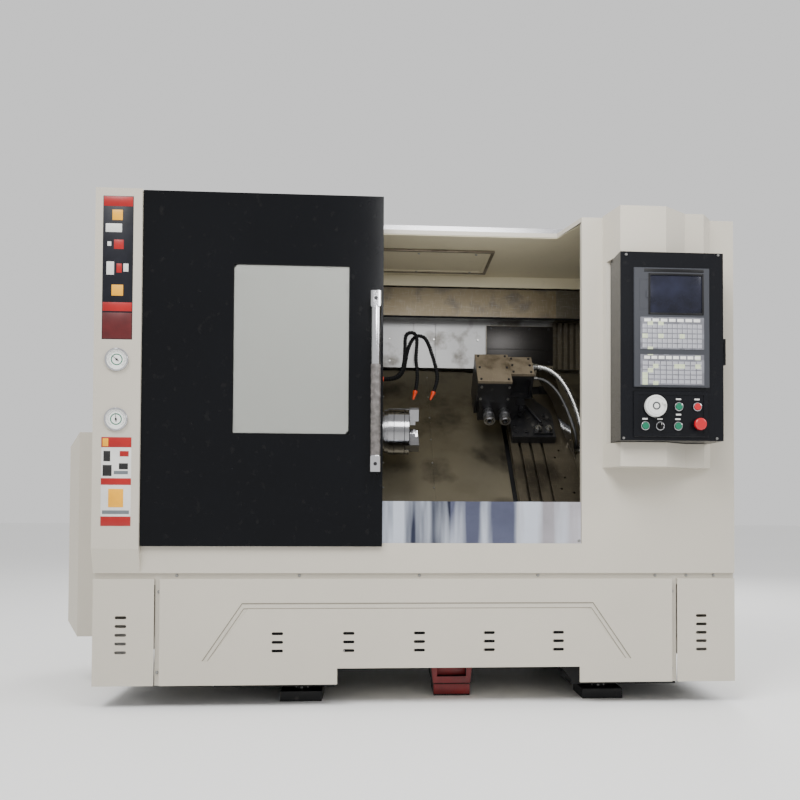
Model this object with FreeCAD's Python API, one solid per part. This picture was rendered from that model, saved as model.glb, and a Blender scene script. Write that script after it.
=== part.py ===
"""Slant-bed CNC turning lathe with a sliding door, a tool table and an operator console.

Millimetres, +Z up. X runs along the spindle, -Y is the operator's side. The origin is the
centre of the machine's footprint on the floor. Most of the work space is laid out in the
slope frame: x along the spindle, s up the slanted bed and n square to it.
"""
import FreeCAD, Part
import math
import os

V = FreeCAD.Vector

# ---- Overall casing ----
BODY_CENTRE_X = 118.0
BODY_WIDTH = 2156.0
BODY_DEPTH = 1070.0
ROOF_Z = 1665.0
APRON_Y = -560.0
SHEET = 3.0
BODY_LEFT = BODY_CENTRE_X - BODY_WIDTH / 2
BODY_RIGHT = BODY_CENTRE_X + BODY_WIDTH / 2
REAR_Y = APRON_Y + BODY_DEPTH
FLAT_GAP = 1.0
SOFT_GAP = 0.3
PIN_GAP = 0.05

# ---- Skirts round the base ----
SKIRT_BOTTOM_Z = 76.0
SKIRT_TOP_Z = 427.0
JOINT_Z = 446.0
SKIRT_RECESS = 10.0
LEFT_SKIRT_WIDTH = 197.0
RIGHT_SKIRT_WIDTH = 201.0
SKIRT_STRIP = 18.0
NOTCH_X0 = -162.0
NOTCH_X1 = 657.0
NOTCH_TOP_Z = 129.0
SLOT_LENGTH = 38.0
SLOT_HEIGHT = 10.0
SLOT_PITCH_Z = 28.6
CENTRE_SLOT_X0 = -360.0
CENTRE_SLOT_PITCH_X = 235.9
CENTRE_SLOT_Z = 188.0
CORNER_SLOT_Z = 185.5
CHANNEL_WIDTH = 20.0
CHANNEL_DEPTH = 1.6
CHANNEL_LOW_Z = 156.0
CHANNEL_HIGH_Z = 337.0
CHANNEL_FOOT_LEFT_X = -597.0
CHANNEL_FOOT_RIGHT_X = 825.0
CHANNEL_TOP_LEFT_X = -474.0
CHANNEL_TOP_RIGHT_X = 700.0

# ---- Front opening, column and splash plate ----
COLUMN_WIDTH = 533.0
OPENING_WIDTH = 755.0
OPENING_SILL_Z = 546.0
SPLASH_TOP_Z = 687.0
OPENING_RIGHT = BODY_RIGHT - COLUMN_WIDTH
OPENING_LEFT = OPENING_RIGHT - OPENING_WIDTH
COLUMN_RETURN = 24.0
FRAME_TOP_Z = ROOF_Z - 15.0
ROOF_RECESS_Y = -388.0
ROOF_CHAMFER_X = 49.0

# ---- Gauge column on the left ----
GAUGE_COLUMN_WIDTH = 151.0
GAUGE_COLUMN_PROUD = 23.0
GAUGE_COLUMN_TOP_Z = 1713.0 - 1665.0 + ROOF_Z
GAUGE_COLUMN_FOOT_Z = 527.0
GAUGE_RADIUS = 38.0
GAUGE_BODY_RADIUS = 32.0
GAUGE_X = BODY_LEFT + 75.5
GAUGE_Z = (950.0, 1145.5)

# ---- Sliding door ----
DOOR_WIDTH = 793.0
DOOR_THICK = 12.0
DOOR_CLEARANCE = 2.0
DOOR_BOTTOM_Z = 535.0
DOOR_TOP_Z = GAUGE_COLUMN_TOP_Z - 1.0
DOOR_LEFT = BODY_LEFT + GAUGE_COLUMN_WIDTH + FLAT_GAP
DOOR_RIGHT = DOOR_LEFT + DOOR_WIDTH
DOOR_BACK_Y = APRON_Y - DOOR_CLEARANCE
DOOR_FRONT_Y = DOOR_BACK_Y - DOOR_THICK
WINDOW_MARGIN_LEFT = 295.0
WINDOW_WIDTH = 386.0
WINDOW_SILL_Z = 907.0
WINDOW_HEIGHT = 567.0
WINDOW_LAP = 12.0
WINDOW_GLASS = 6.0
TRACK_Y = -372.0
TRACK_WIDTH = 12.0
TRACK_HEIGHT = 20.0
ROLLER_RADIUS = 11.0
HANDLE_INSET = 24.0
HANDLE_Z0 = 781.0
HANDLE_Z1 = 1374.0
HANDLE_RADIUS = 15.0
HANDLE_STANDOFF = 60.0
HANDLE_BLOCK_W = 36.0
HANDLE_BLOCK_H = 51.0

# ---- Slope frame, at the foot of the spindle's height over the way covers ----
SLOPE_Y = -202.0
SLOPE_Z = 849.0
SLOPE_DEG = 45.0
ROOT2 = math.sqrt(2.0)

# ---- Spindle ----
AXIS_N = 138.0
NOSE_X = OPENING_LEFT + 83.0
SPINDLE_RADIUS = 35.0
SPINDLE_REAR_X = NOSE_X - 790.0
NOSE_FLANGE_RADIUS = 70.0
NOSE_FLANGE_THICK = 16.0
BACKPLATE_THICK = 14.0
BACKPLATE_RADIUS = 79.0
CHUCK_RADIUS = 84.5
CHUCK_LENGTH = 77.0
CHUCK_BORE_RADIUS = 22.5
JAW_ANGLES_DEG = (20.0, 140.0, 260.0)
JAW_WIDTH = 34.0
JAW_INNER = 29.0
JAW_OUTER = 86.0
JAW_PROUD = 34.0
JAW_SLOT_WIDTH = 24.0
JAW_SLOT_DEPTH = 15.0
HEADSTOCK_LENGTH = 488.0
HEADSTOCK_HALF = 124.0
BULKHEAD_X = NOSE_X - 139.0
NOSE_BOSS_RADIUS = 78.0
BEARING_RADIUS = 60.0
BEARING_WIDTH = 44.0
PULLEY_X0 = NOSE_X - 728.0
PULLEY_WIDTH = 60.0
SPINDLE_PULLEY_RADIUS = 84.0
MOTOR_PULLEY_RADIUS = 56.0
BELT_THICK = 8.0
CYLINDER_RADIUS = 74.0
CYLINDER_LENGTH = 96.0
MOTOR_Y = 20.0
MOTOR_Z = 420.0
MOTOR_HALF = 95.0
MOTOR_FRONT_X = NOSE_X - 781.0
MOTOR_LENGTH = 330.0
MOTOR_SHAFT_RADIUS = 19.0
SHELF_THICK = 14.0

# ---- Side cover over the motor's tail ----
SIDE_COVER_WIDTH = 236.0
SIDE_COVER_Y0 = -175.0
SIDE_COVER_Y1 = 340.0
SIDE_COVER_Z0 = 183.0
SIDE_COVER_Z1 = 944.0
SIDE_COVER_CHAMFER = 52.0

# ---- Bed ----
BED_N = -130.0
BED_X0 = NOSE_X - 631.0
BED_X1 = NOSE_X + 929.0
BED_FRONT_Y = -300.0
BED_CREST_Y = 80.0
BED_BACK_Y = 250.0
BED_BOTTOM_Z = 150.0
LEG_BOTTOM_Z = 46.0
LEG_Y0 = -440.0
LEG_Y1 = 400.0
LEFT_LEG_X0 = -590.0
LEFT_LEG_X1 = -176.0
RIGHT_LEG_X0 = 655.0
RIGHT_LEG_X1 = 1030.0
LEG_CHAMFER_X = 72.0
FLANGE_Z = 62.0
POCKET = 190.0
POCKET_PITCH = 226.0
POCKET_TOP_Z = 470.0

# ---- Levelling mounts ----
PAD_X = (-290.0, 760.0)
PAD_SIZE = 142.0
PAD_Y = (-395.0, 330.0)
PAD_HEIGHT = 34.0
BOLT_RADIUS = 12.0
BOLT_TOP_Z = 122.0
SUPPORT_X = 235.0
SUPPORT_TOP_W = 162.0
SUPPORT_FOOT_W = 136.0
SUPPORT_PAD_Z = 42.0

# ---- Ways, carriage and way covers, in the slope frame ----
RAIL_S = (-190.0, 190.0)
RAIL_WIDTH = 30.0
RAIL_HEIGHT = 26.0
RAIL_X0 = NOSE_X + 239.0
RAIL_X1 = NOSE_X + 869.0
TABLE_X0 = NOSE_X + 478.0
TABLE_WIDTH = 231.0
TABLE_X1 = TABLE_X0 + TABLE_WIDTH
TABLE_S0 = -330.0
TABLE_S1 = 330.0
TABLE_N = 70.0
TABLE_THICK = 34.0
T_SLOT_X = (34.0, 75.0, 118.5)
T_SLOT_WIDTH = 10.0
T_SLOT_DEPTH = 14.0
SADDLE_X0 = TABLE_X0 - 19.0
SADDLE_X1 = TABLE_X1 + 20.0
SADDLE_TOP_N = -14.0
SADDLE_BOTTOM_N = -90.0
SADDLE_S0 = -300.0
SADDLE_S1 = 600.0
TROUGH_WIDTH = 70.0
TROUGH_N = -66.0
X_RAIL_INSET = (31.0, TABLE_WIDTH - 51.0)
X_RAIL_WIDTH = 20.0
X_RAIL_TOP_N = 8.0
X_RAIL_S0 = -300.0
X_RAIL_S1 = 470.0
BLOCK_S = (-230.0, 150.0)
BLOCK_LENGTH = 80.0
SCREW_RADIUS = 12.5
Z_SCREW_RADIUS = 16.0
X_SCREW_N = -40.0
Z_SCREW_N = -108.0
Z_SCREW_X0 = NOSE_X + 180.0
Z_SCREW_X1 = NOSE_X + 955.0
X_SCREW_S0 = -290.0
X_SCREW_S1 = 640.0
SERVO_HALF = 52.0
SERVO_LENGTH = 150.0
COVER_THICK = 2.0
COVER_GAP = 0.3
COVER_STEP = COVER_THICK + COVER_GAP
REAR_TAB_REACH = 40.0
COVER_S0 = -330.0
COVER_S1 = 578.0
FIXED_COVER_X1 = NOSE_X + 202.0
MID_COVER_X0 = NOSE_X + 109.0
MID_COVER_X1 = NOSE_X + 353.0
INNER_COVER_X0 = NOSE_X + 259.0
RIGHT_INNER_X1 = TABLE_X1 + 160.0
RIGHT_MID_X0 = TABLE_X1 + 50.0
RIGHT_MID_X1 = TABLE_X1 + 215.0
RIGHT_FIXED_X0 = TABLE_X1 + 100.0
PARTITION_X = TABLE_X1 + 182.0

# ---- Power head on the tool table, in the slope frame ----
TOOL_PLATE_THICK = 30.0
HEAD_A_X0 = TABLE_X0 - 131.0
HEAD_A_X1 = TABLE_X0 - 4.0
HEAD_A_S0 = 130.0
HEAD_A_S1 = 303.0
HEAD_A_N0 = 92.0
HEAD_TOP_N = 276.0
HEAD_B_X1 = TABLE_X0 + 88.0
HEAD_B_S0 = 190.0
HEAD_B_S1 = 300.0
HEAD_B_TOP_N = 268.0
CAP_THICK = 10.0
TOOL_NOSE_X = (TABLE_X0 - 82.0, TABLE_X0 - 22.0)
TOOL_NOSE_N = 138.0
TOOL_NOSE_RADIUS = 21.0
TOOL_NOSE_LENGTH = 62.0
TOOL_BORE_RADIUS = 8.0

# ---- Conduit and hose from the power head to the carriage cover, slope frame ----
CONDUIT_RADIUS = 11.0
HOSE_RADIUS = 6.0
CONDUIT_X = TABLE_X0
CONDUIT_ROUTE = (
    (94.0, 282.0, 236.0),
    (129.0, 282.0, 236.0),
    (164.0, 270.0, 231.0),
    (195.0, 247.0, 219.0),
    (220.0, 217.0, 201.0),
    (240.0, 183.0, 177.0),
    (257.0, 150.0, 151.0),
    (270.0, 118.0, 124.0),
    (279.0, 90.0, 97.0),
    (285.0, 73.0, 70.0),
    (287.0, 64.0, 42.0),
    (287.0, 64.0, 14.0),
)
HOSE_ROUTE = (
    (94.0, 250.0, 206.0),
    (121.0, 250.0, 206.0),
    (150.0, 238.0, 201.0),
    (174.0, 218.0, 191.0),
    (197.0, 190.0, 175.0),
    (215.0, 160.0, 154.0),
    (231.0, 129.0, 131.0),
    (245.0, 97.0, 107.0),
    (254.0, 70.0, 83.0),
    (260.0, 53.0, 60.0),
    (261.0, 46.0, 37.0),
    (261.0, 46.0, 14.0),
)
GLAND_HEIGHT = 12.0

# ---- Coolant hoses beside the chuck ----
COOLANT_RADIUS = 7.0
COOLANT_Y = SLOPE_Y - AXIS_N / ROOT2 - 6.0
COOLANT_Z = 1139.5
COOLANT_FORK_Y = 16.0
HOSE_A_ROUTE = (
    (-12.0, 0.0, 0.0),
    (20.0, 0.0, 0.0),
    (44.0, 0.0, 14.0),
    (58.0, 0.0, 38.0),
    (64.0, 0.0, 70.0),
    (66.0, 0.0, 106.0),
    (66.0, 0.0, 159.0),
    (79.0, 0.0, 172.0),
    (97.0, 0.0, 172.0),
    (110.0, 0.0, 159.0),
    (109.0, 0.0, 116.0),
    (105.0, 0.0, 72.0),
    (112.0, 0.0, 28.0),
    (111.0, 0.0, -17.0),
    (104.0, 0.0, -46.0),
)
HOSE_B_ROUTE = (
    (-12.0, 1.0, 0.0),
    (24.0, 1.0, 0.0),
    (50.0, 1.0, 14.0),
    (64.0, 1.0, 40.0),
    (70.0, 1.0, 78.0),
    (78.0, 1.0, 118.0),
    (92.0, 1.0, 150.0),
    (114.0, 1.0, 166.0),
    (138.0, 1.0, 160.0),
    (154.0, 1.0, 134.0),
    (170.0, 1.0, 84.0),
    (186.0, 1.0, 32.0),
    (187.0, 1.0, -8.0),
    (172.0, 1.0, -46.0),
)
NOZZLE_LENGTH = 30.0
NOZZLE_TIP_RADIUS = 3.5

# ---- Lining of the work space ----
BACK_SHEET_Y = 207.0
LEDGE_Z = 1477.0
UPPER_PANEL_Y = 130.0
UPPER_PANEL_Z1 = 1597.0
CEILING_Z = FRAME_TOP_Z - 3.0
CEILING_BACK_Y = 119.0
CEILING_BAND_Z = 1602.0 - 1665.0 + ROOF_Z
PLEAT_X0 = NOSE_X + 730.0
PLEAT_PITCH = 26.0
PLEAT_DEPTH = 10.0
DARK_PLATE_X0 = NOSE_X + 439.0
DARK_PLATE_X1 = NOSE_X + 730.0
DARK_PLATE_Y = 187.0
DARK_PLATE_Z1 = 1455.0
HATCH_X0 = -260.0
HATCH_X1 = 396.0
HATCH_Y0 = -221.0
HATCH_Y1 = 47.0
HATCH_THICK = 6.0

# ---- Chip tray and pump ----
TRAY_X0 = NOSE_X - 100.0
TRAY_X1 = NOSE_X + 900.0
TRAY_Y0 = -540.0
TRAY_Z0 = 150.0
TRAY_Z1 = 425.0
PUMP_X = NOSE_X + 985.0
PUMP_RADIUS = 55.0

# ---- Electrical cabinet ----
CABINET_X0 = -260.0
CABINET_WIDTH = 900.0
CABINET_DEPTH = 242.0
CABINET_Z0 = 560.0
CABINET_HEIGHT = 940.0
CABINET_DOOR = 14.0
CABINET_PIN_RADIUS = 6.0

# ---- Console pillar and panel box ----
PILLAR_Z0 = 804.0
PILLAR_Z1 = 1669.0 - 1665.0 + ROOF_Z
PILLAR_PLAN = (
    (-460.6, 0.0),
    (-431.0, -111.6),
    (-276.5, -111.6),
    (-189.1, -48.4),
    (-124.0, -48.4),
    (-84.0, 0.0),
)
PANEL_X0 = BODY_RIGHT - 443.0
PANEL_WIDTH = 342.0
PANEL_X1 = PANEL_X0 + PANEL_WIDTH
PANEL_Y = -713.0
PANEL_DEPTH = 116.0
PANEL_Z0 = 886.0
PANEL_Z1 = 1502.0
PANEL_BACK_GAP = 12.0
PANEL_END_GAP = 2.0
PANEL_WALL = 2.5
PIVOT_INSET = 15.0
PIVOT_RADIUS = 6.0
PIVOT_LENGTH = 14.0
UNIT_X = 43.0
UNIT_WIDTH = 250.0
UNIT_Z0 = 1059.0
UNIT_HEIGHT = 390.0
UNIT_PROUD = 8.0
UNIT_BODY_DEPTH = 62.0
UNIT_FRAME = 10.0
SCREEN_X = 96.0
SCREEN_WIDTH = 171.5
SCREEN_Z0 = 1301.0
SCREEN_HEIGHT = 123.0
SCREEN_SINK = 3.0
PORT_X = 61.0
PORT_WIDTH = 28.0
PORT_Z0 = 1312.0
PORT_HEIGHT = 98.0
KEYPAD_X = 63.0
KEYPAD_WIDTH = 211.0
KEYPAD_Z0 = (1066.0, 1182.0)
KEYPAD_HEIGHT = (99.0, 104.5)
KEYPAD_PROUD = 1.5
BUTTON_PLATE_X = 42.0
BUTTON_PLATE_WIDTH = 248.0
BUTTON_PLATE_Z0 = 898.0
BUTTON_PLATE_HEIGHT = 148.0
BUTTON_PLATE_PROUD = 6.0
BUTTON_FIELD_MARGIN_X = 16.0
BUTTON_FIELD_MARGIN_Z = 12.0
BUTTON_FIELD_SINK = 2.0
BUTTON_RADIUS = 11.0
BUTTON_GAP = 0.3
BEZEL_RADIUS = 14.5
BEZEL_HEIGHT = 4.0
BUTTON_PROUD = 5.0
UPPER_BUTTON_Z = 996.0
LOWER_BUTTON_Z = 932.5
GREEN_1_X = 190.5
RED_X = 252.0
GREEN_2_X = 79.5
SELECTOR_X = 128.5
GREEN_3_X = 188.0
ESTOP_X = 255.0
ESTOP_Z = 938.5
ESTOP_RADIUS = 19.5
ESTOP_STEM_RADIUS = 9.0
WHEEL_X = 110.5
WHEEL_RADIUS = 35.0
WHEEL_SHAFT_RADIUS = 5.0
WHEEL_DIAL_RADIUS = 37.0


# ---------------------------------------------------------------- helpers
def box(x0, x1, y0, y1, z0, z1):
    """Block between two corners."""
    return Part.makeBox(x1 - x0, y1 - y0, z1 - z0, V(x0, y0, z0))


def rod(start, direction, radius, length):
    """Round bar from a start point along a direction."""
    return Part.makeCylinder(radius, length, V(*start), V(*direction))


def prism(points, vector):
    """Flat outline swept along a vector."""
    wire = Part.makePolygon([V(*p) for p in points] + [V(*points[0])])
    return Part.Face(wire).extrude(V(*vector))


def prism_x(outline, x0, x1):
    """Outline of (y, z) points swept from x0 to x1."""
    return prism([(x0, y, z) for y, z in outline], (x1 - x0, 0, 0))


def prism_y(outline, y0, y1):
    """Outline of (x, z) points swept from y0 to y1."""
    return prism([(x, y0, z) for x, z in outline], (0, y1 - y0, 0))


def prism_z(outline, z0, z1):
    """Outline of (x, y) points swept from z0 to z1."""
    return prism([(x, y, z0) for x, y in outline], (0, 0, z1 - z0))


def on_slope(shape):
    """Place a shape drawn in the slope frame (x, s, n)."""
    placed = shape.copy()
    placed.rotate(V(0, 0, 0), V(1, 0, 0), SLOPE_DEG)
    placed.translate(V(0, SLOPE_Y, SLOPE_Z))
    return placed


def slope_point(x, s, n):
    """Machine coordinates of a slope-frame point."""
    return V(x, SLOPE_Y + (s - n) / ROOT2, SLOPE_Z + (s + n) / ROOT2)


def slope_z(y, n):
    """Height of the plane n at a depth y."""
    return SLOPE_Z + (y - SLOPE_Y) + n * ROOT2


def ring(centre, direction, outer, inner, length):
    """Round tube."""
    return rod(centre, direction, outer, length).cut(rod(centre, direction, inner, length))


def stadium(x, z, length, height, y0, y1):
    """Round-ended slot cutter lying along X."""
    half = (length - height) / 2
    bar = box(x - half, x + half, y0, y1, z - height / 2, z + height / 2)
    ends = [rod((x + side * half, y0, z), (0, 1, 0), height / 2, y1 - y0) for side in (-1, 1)]
    return bar.fuse(ends)


def hose_path(points):
    """Straight runs joined by tangent arcs, each as large as its two runs allow."""
    edges = []
    start = points[0]
    for before, corner, after in zip(points, points[1:], points[2:]):
        run_in = corner.sub(before)
        run_out = after.sub(corner)
        turn = run_in.getAngle(run_out)
        reach = 0.45 * min(run_in.Length, run_out.Length)
        unit_in = V(run_in).normalize()
        unit_out = V(run_out).normalize()
        arc_start = corner.sub(V(unit_in).multiply(reach))
        arc_end = corner.add(V(unit_out).multiply(reach))
        radius = reach / math.tan(turn / 2)
        inward = V(unit_out).sub(unit_in).normalize()
        middle = corner.add(V(inward).multiply(radius / math.cos(turn / 2) - radius))
        edges.append(Part.LineSegment(start, arc_start).toShape())
        edges.append(Part.Arc(arc_start, middle, arc_end).toShape())
        start = arc_end
    edges.append(Part.LineSegment(start, points[-1]).toShape())
    return Part.Wire(edges)


def hose(points, radius):
    """Round hose along a route."""
    path = hose_path(points)
    section = Part.Wire([Part.makeCircle(radius, points[0], points[1].sub(points[0]))])
    return path.makePipeShell([section], True, False)


def group(shapes):
    """Several separate solids kept in one node."""
    return Part.makeCompound(shapes)


def axis_point(x):
    """Point on the spindle axis."""
    return slope_point(x, 0.0, AXIS_N)


# ---------------------------------------------------------------- base
def bed_casting():
    """Slanted casting on two legs, with core pockets underneath."""
    front_z = slope_z(BED_FRONT_Y, BED_N)
    crest_z = slope_z(BED_CREST_Y, BED_N)
    outline = (
        (BED_FRONT_Y, BED_BOTTOM_Z),
        (BED_FRONT_Y, front_z),
        (BED_CREST_Y, crest_z),
        (BED_BACK_Y, crest_z),
        (BED_BACK_Y, BED_BOTTOM_Z),
    )
    body = prism_x(outline, BED_X0, BED_X1)
    left_leg = box(LEFT_LEG_X0, LEFT_LEG_X1, LEG_Y0, LEG_Y1, FLANGE_Z, BED_BOTTOM_Z)
    right_outline = (
        (RIGHT_LEG_X0, FLANGE_Z),
        (RIGHT_LEG_X0 - LEG_CHAMFER_X, BED_BOTTOM_Z),
        (RIGHT_LEG_X1, BED_BOTTOM_Z),
        (RIGHT_LEG_X1, FLANGE_Z),
    )
    right_leg = prism_y(right_outline, LEG_Y0, LEG_Y1)
    plates = [
        box(LEFT_LEG_X0, LEFT_LEG_X1, LEG_Y0, LEG_Y1, LEG_BOTTOM_Z, FLANGE_Z),
        box(RIGHT_LEG_X0, RIGHT_LEG_X1, LEG_Y0, LEG_Y1, LEG_BOTTOM_Z, FLANGE_Z),
    ]
    bed = body.fuse([left_leg, right_leg] + plates)
    cuts = []
    count = int((BED_X1 - BED_X0 - POCKET_PITCH) // POCKET_PITCH) + 1
    first = (BED_X0 + BED_X1) / 2 - (count - 1) * POCKET_PITCH / 2
    for i in range(count):
        for y0 in (BED_FRONT_Y + 40.0, BED_FRONT_Y + 40.0 + POCKET_PITCH):
            x0 = first + i * POCKET_PITCH - POCKET / 2
            cuts.append(box(x0, x0 + POCKET, y0, y0 + POCKET, LEG_BOTTOM_Z - 1, POCKET_TOP_Z))
    for x in PAD_X:
        for y in PAD_Y:
            cuts.append(rod((x, y, LEG_BOTTOM_Z - 1), (0, 0, 1), BOLT_RADIUS + PIN_GAP, BED_BOTTOM_Z))
    trough = box(BED_X0 + HEADSTOCK_LENGTH + 60.0, BED_X1 + 1, -46.0, 46.0, BED_N - 45.0, BED_N + 1)
    return bed.cut(cuts + [on_slope(trough)])


def levelling_mounts():
    """Four square pads with threaded bolts and nuts, and the middle jack."""
    shapes = []
    for x in PAD_X:
        for y in PAD_Y:
            half = PAD_SIZE / 2
            pad = box(x - half, x + half, y - half, y + half, 0.0, PAD_HEIGHT)
            collar = rod((x, y, PAD_HEIGHT), (0, 0, 1), 2 * BOLT_RADIUS, LEG_BOTTOM_Z - PAD_HEIGHT)
            bolt = rod((x, y, PAD_HEIGHT), (0, 0, 1), BOLT_RADIUS, BOLT_TOP_Z - PAD_HEIGHT)
            shapes.append(pad.fuse([collar, bolt]))
    top = SUPPORT_TOP_W / 2
    foot = SUPPORT_FOOT_W / 2
    outline = (
        (SUPPORT_X - foot, SUPPORT_PAD_Z),
        (SUPPORT_X - top, BED_BOTTOM_Z),
        (SUPPORT_X + top, BED_BOTTOM_Z),
        (SUPPORT_X + foot, SUPPORT_PAD_Z),
    )
    y0 = BED_FRONT_Y - 90.0
    jack = prism_y(outline, y0, y0 + 220.0)
    inner = foot - 14
    window = box(SUPPORT_X - inner, SUPPORT_X + inner, y0 - 1, y0 + 30, SUPPORT_PAD_Z + 22, BED_BOTTOM_Z - 24)
    pad = box(SUPPORT_X - foot + 4, SUPPORT_X + foot - 4, y0 - 6, y0 + 160.0, 0.0, SUPPORT_PAD_Z)
    shapes.append(jack.cut(window))
    shapes.append(pad)
    return group(shapes)


def slot_column(x, z0, count):
    """Cutters for one column of ventilation slots."""
    y0 = APRON_Y - 5.0
    y1 = APRON_Y + 20.0
    return [stadium(x, z0 + i * SLOT_PITCH_Z, SLOT_LENGTH, SLOT_HEIGHT, y0, y1) for i in range(count)]


def skirt_channel():
    """Shallow pressed channel across the centre skirt."""
    half = CHANNEL_WIDTH / 2
    lean_left = (CHANNEL_TOP_LEFT_X - CHANNEL_FOOT_LEFT_X) / (CHANNEL_HIGH_Z - CHANNEL_LOW_Z)
    lean_right = (CHANNEL_FOOT_RIGHT_X - CHANNEL_TOP_RIGHT_X) / (CHANNEL_HIGH_Z - CHANNEL_LOW_Z)
    outline = (
        (CHANNEL_FOOT_LEFT_X - half, CHANNEL_LOW_Z),
        (CHANNEL_TOP_LEFT_X - half + half * lean_left, CHANNEL_HIGH_Z + half),
        (CHANNEL_TOP_RIGHT_X + half - half * lean_right, CHANNEL_HIGH_Z + half),
        (CHANNEL_FOOT_RIGHT_X + half, CHANNEL_LOW_Z),
        (CHANNEL_FOOT_RIGHT_X - half, CHANNEL_LOW_Z),
        (CHANNEL_TOP_RIGHT_X - half - half * lean_right, CHANNEL_HIGH_Z - half),
        (CHANNEL_TOP_LEFT_X + half + half * lean_left, CHANNEL_HIGH_Z - half),
        (CHANNEL_FOOT_LEFT_X + half, CHANNEL_LOW_Z),
    )
    return prism_y(outline, APRON_Y - 1.0, APRON_Y + CHANNEL_DEPTH)


def front_skirt():
    """Centre skirt with its screw strip, slots, pressed channel and fork notch."""
    x0 = BODY_LEFT + LEFT_SKIRT_WIDTH
    x1 = BODY_RIGHT - RIGHT_SKIRT_WIDTH
    face = box(x0 + SKIRT_STRIP, x1 - SKIRT_STRIP, APRON_Y, APRON_Y + SHEET, SKIRT_BOTTOM_Z, SKIRT_TOP_Z)
    back_y = APRON_Y + SKIRT_RECESS
    strip = box(BODY_LEFT + SHEET, BODY_RIGHT - SHEET, back_y, back_y + SHEET, SKIRT_TOP_Z - 20.0, JOINT_Z)
    edges = [
        box(x0 + FLAT_GAP, x0 + SKIRT_STRIP + SHEET, back_y, back_y + SHEET, SKIRT_BOTTOM_Z, SKIRT_TOP_Z),
        box(x1 - SKIRT_STRIP - SHEET, x1 - FLAT_GAP, back_y, back_y + SHEET, SKIRT_BOTTOM_Z, SKIRT_TOP_Z),
    ]
    returns = [
        box(x0 + SKIRT_STRIP, x0 + SKIRT_STRIP + SHEET, APRON_Y, back_y, SKIRT_BOTTOM_Z, SKIRT_TOP_Z),
        box(x1 - SKIRT_STRIP - SHEET, x1 - SKIRT_STRIP, APRON_Y, back_y, SKIRT_BOTTOM_Z, SKIRT_TOP_Z),
        box(x0 + SKIRT_STRIP, x1 - SKIRT_STRIP, APRON_Y, back_y, SKIRT_TOP_Z - SHEET, SKIRT_TOP_Z),
    ]
    skirt = face.fuse([strip] + edges + returns)
    cuts = [skirt_channel()]
    cuts.append(box(NOTCH_X0, NOTCH_X1, APRON_Y - 1, APRON_Y + 20, SKIRT_BOTTOM_Z - 1, NOTCH_TOP_Z))
    for i in range(5):
        cuts += slot_column(CENTRE_SLOT_X0 + i * CENTRE_SLOT_PITCH_X, CENTRE_SLOT_Z, 3)
    return skirt.cut(cuts)


def motor_window(z0):
    """Cutter for the spindle motor's passage through the left casing."""
    margin = MOTOR_HALF + 25.0
    low = max(z0, MOTOR_Z - MOTOR_HALF - SHELF_THICK - 25.0)
    high = MOTOR_Z + margin + 30.0
    return box(BODY_LEFT - 1, BODY_LEFT + 10, MOTOR_Y - margin, MOTOR_Y + margin, low, high)


def corner_skirt(inner_x, outer_x, slot_x):
    """Corner skirt folded round to the side of the machine, with one column of slots."""
    side = 1.0 if outer_x > inner_x else -1.0
    x0 = min(inner_x, outer_x)
    x1 = max(inner_x, outer_x)
    front = box(x0, x1, APRON_Y, APRON_Y + SHEET, SKIRT_BOTTOM_Z, SKIRT_TOP_Z)
    wall = outer_x - side * SHEET
    flank = box(min(wall, outer_x), max(wall, outer_x), APRON_Y, REAR_Y, SKIRT_BOTTOM_Z, SKIRT_TOP_Z)
    upper = box(min(wall, outer_x), max(wall, outer_x), APRON_Y + SKIRT_RECESS, REAR_Y, SKIRT_TOP_Z, JOINT_Z)
    lip = box(x0, x1, APRON_Y, APRON_Y + SKIRT_RECESS, SKIRT_TOP_Z - SHEET, SKIRT_TOP_Z)
    return front.fuse([flank, upper, lip]).cut(slot_column(slot_x, CORNER_SLOT_Z, 5))


def corner_skirts():
    """Left and right corner skirts."""
    left = corner_skirt(BODY_LEFT + LEFT_SKIRT_WIDTH, BODY_LEFT, BODY_LEFT + 90.0)
    right = corner_skirt(BODY_RIGHT - RIGHT_SKIRT_WIDTH, BODY_RIGHT, BODY_RIGHT - 117.0)
    return group([left.cut(motor_window(SKIRT_BOTTOM_Z)), right])


# ---------------------------------------------------------------- casing
def side_walls():
    """Left and right casing walls; the left one is open for the spindle motor."""
    y0 = APRON_Y + SHEET
    left = box(BODY_LEFT, BODY_LEFT + SHEET, y0, REAR_Y, JOINT_Z, FRAME_TOP_Z)
    right = box(BODY_RIGHT - SHEET, BODY_RIGHT, y0, REAR_Y, JOINT_Z, FRAME_TOP_Z)
    louvres = []
    for i in range(8):
        z = 1180.0 + 30.0 * i
        louvres.append(box(BODY_RIGHT - 10, BODY_RIGHT + 1, 60.0, 260.0, z, z + 12.0))
    return group([left.cut(motor_window(JOINT_Z - 1)), right.cut(louvres)])


def rear_wall():
    """Rear casing wall with an opening for the cabinet's wiring."""
    wall = box(BODY_LEFT + SHEET, BODY_RIGHT - SHEET, REAR_Y - SHEET, REAR_Y, SKIRT_BOTTOM_Z, FRAME_TOP_Z)
    x = CABINET_X0 + CABINET_WIDTH / 2
    z = CABINET_Z0 + CABINET_HEIGHT / 2
    return wall.cut(box(x - 60, x + 60, REAR_Y - 5, REAR_Y + 5, z - 60, z + 60))


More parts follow.
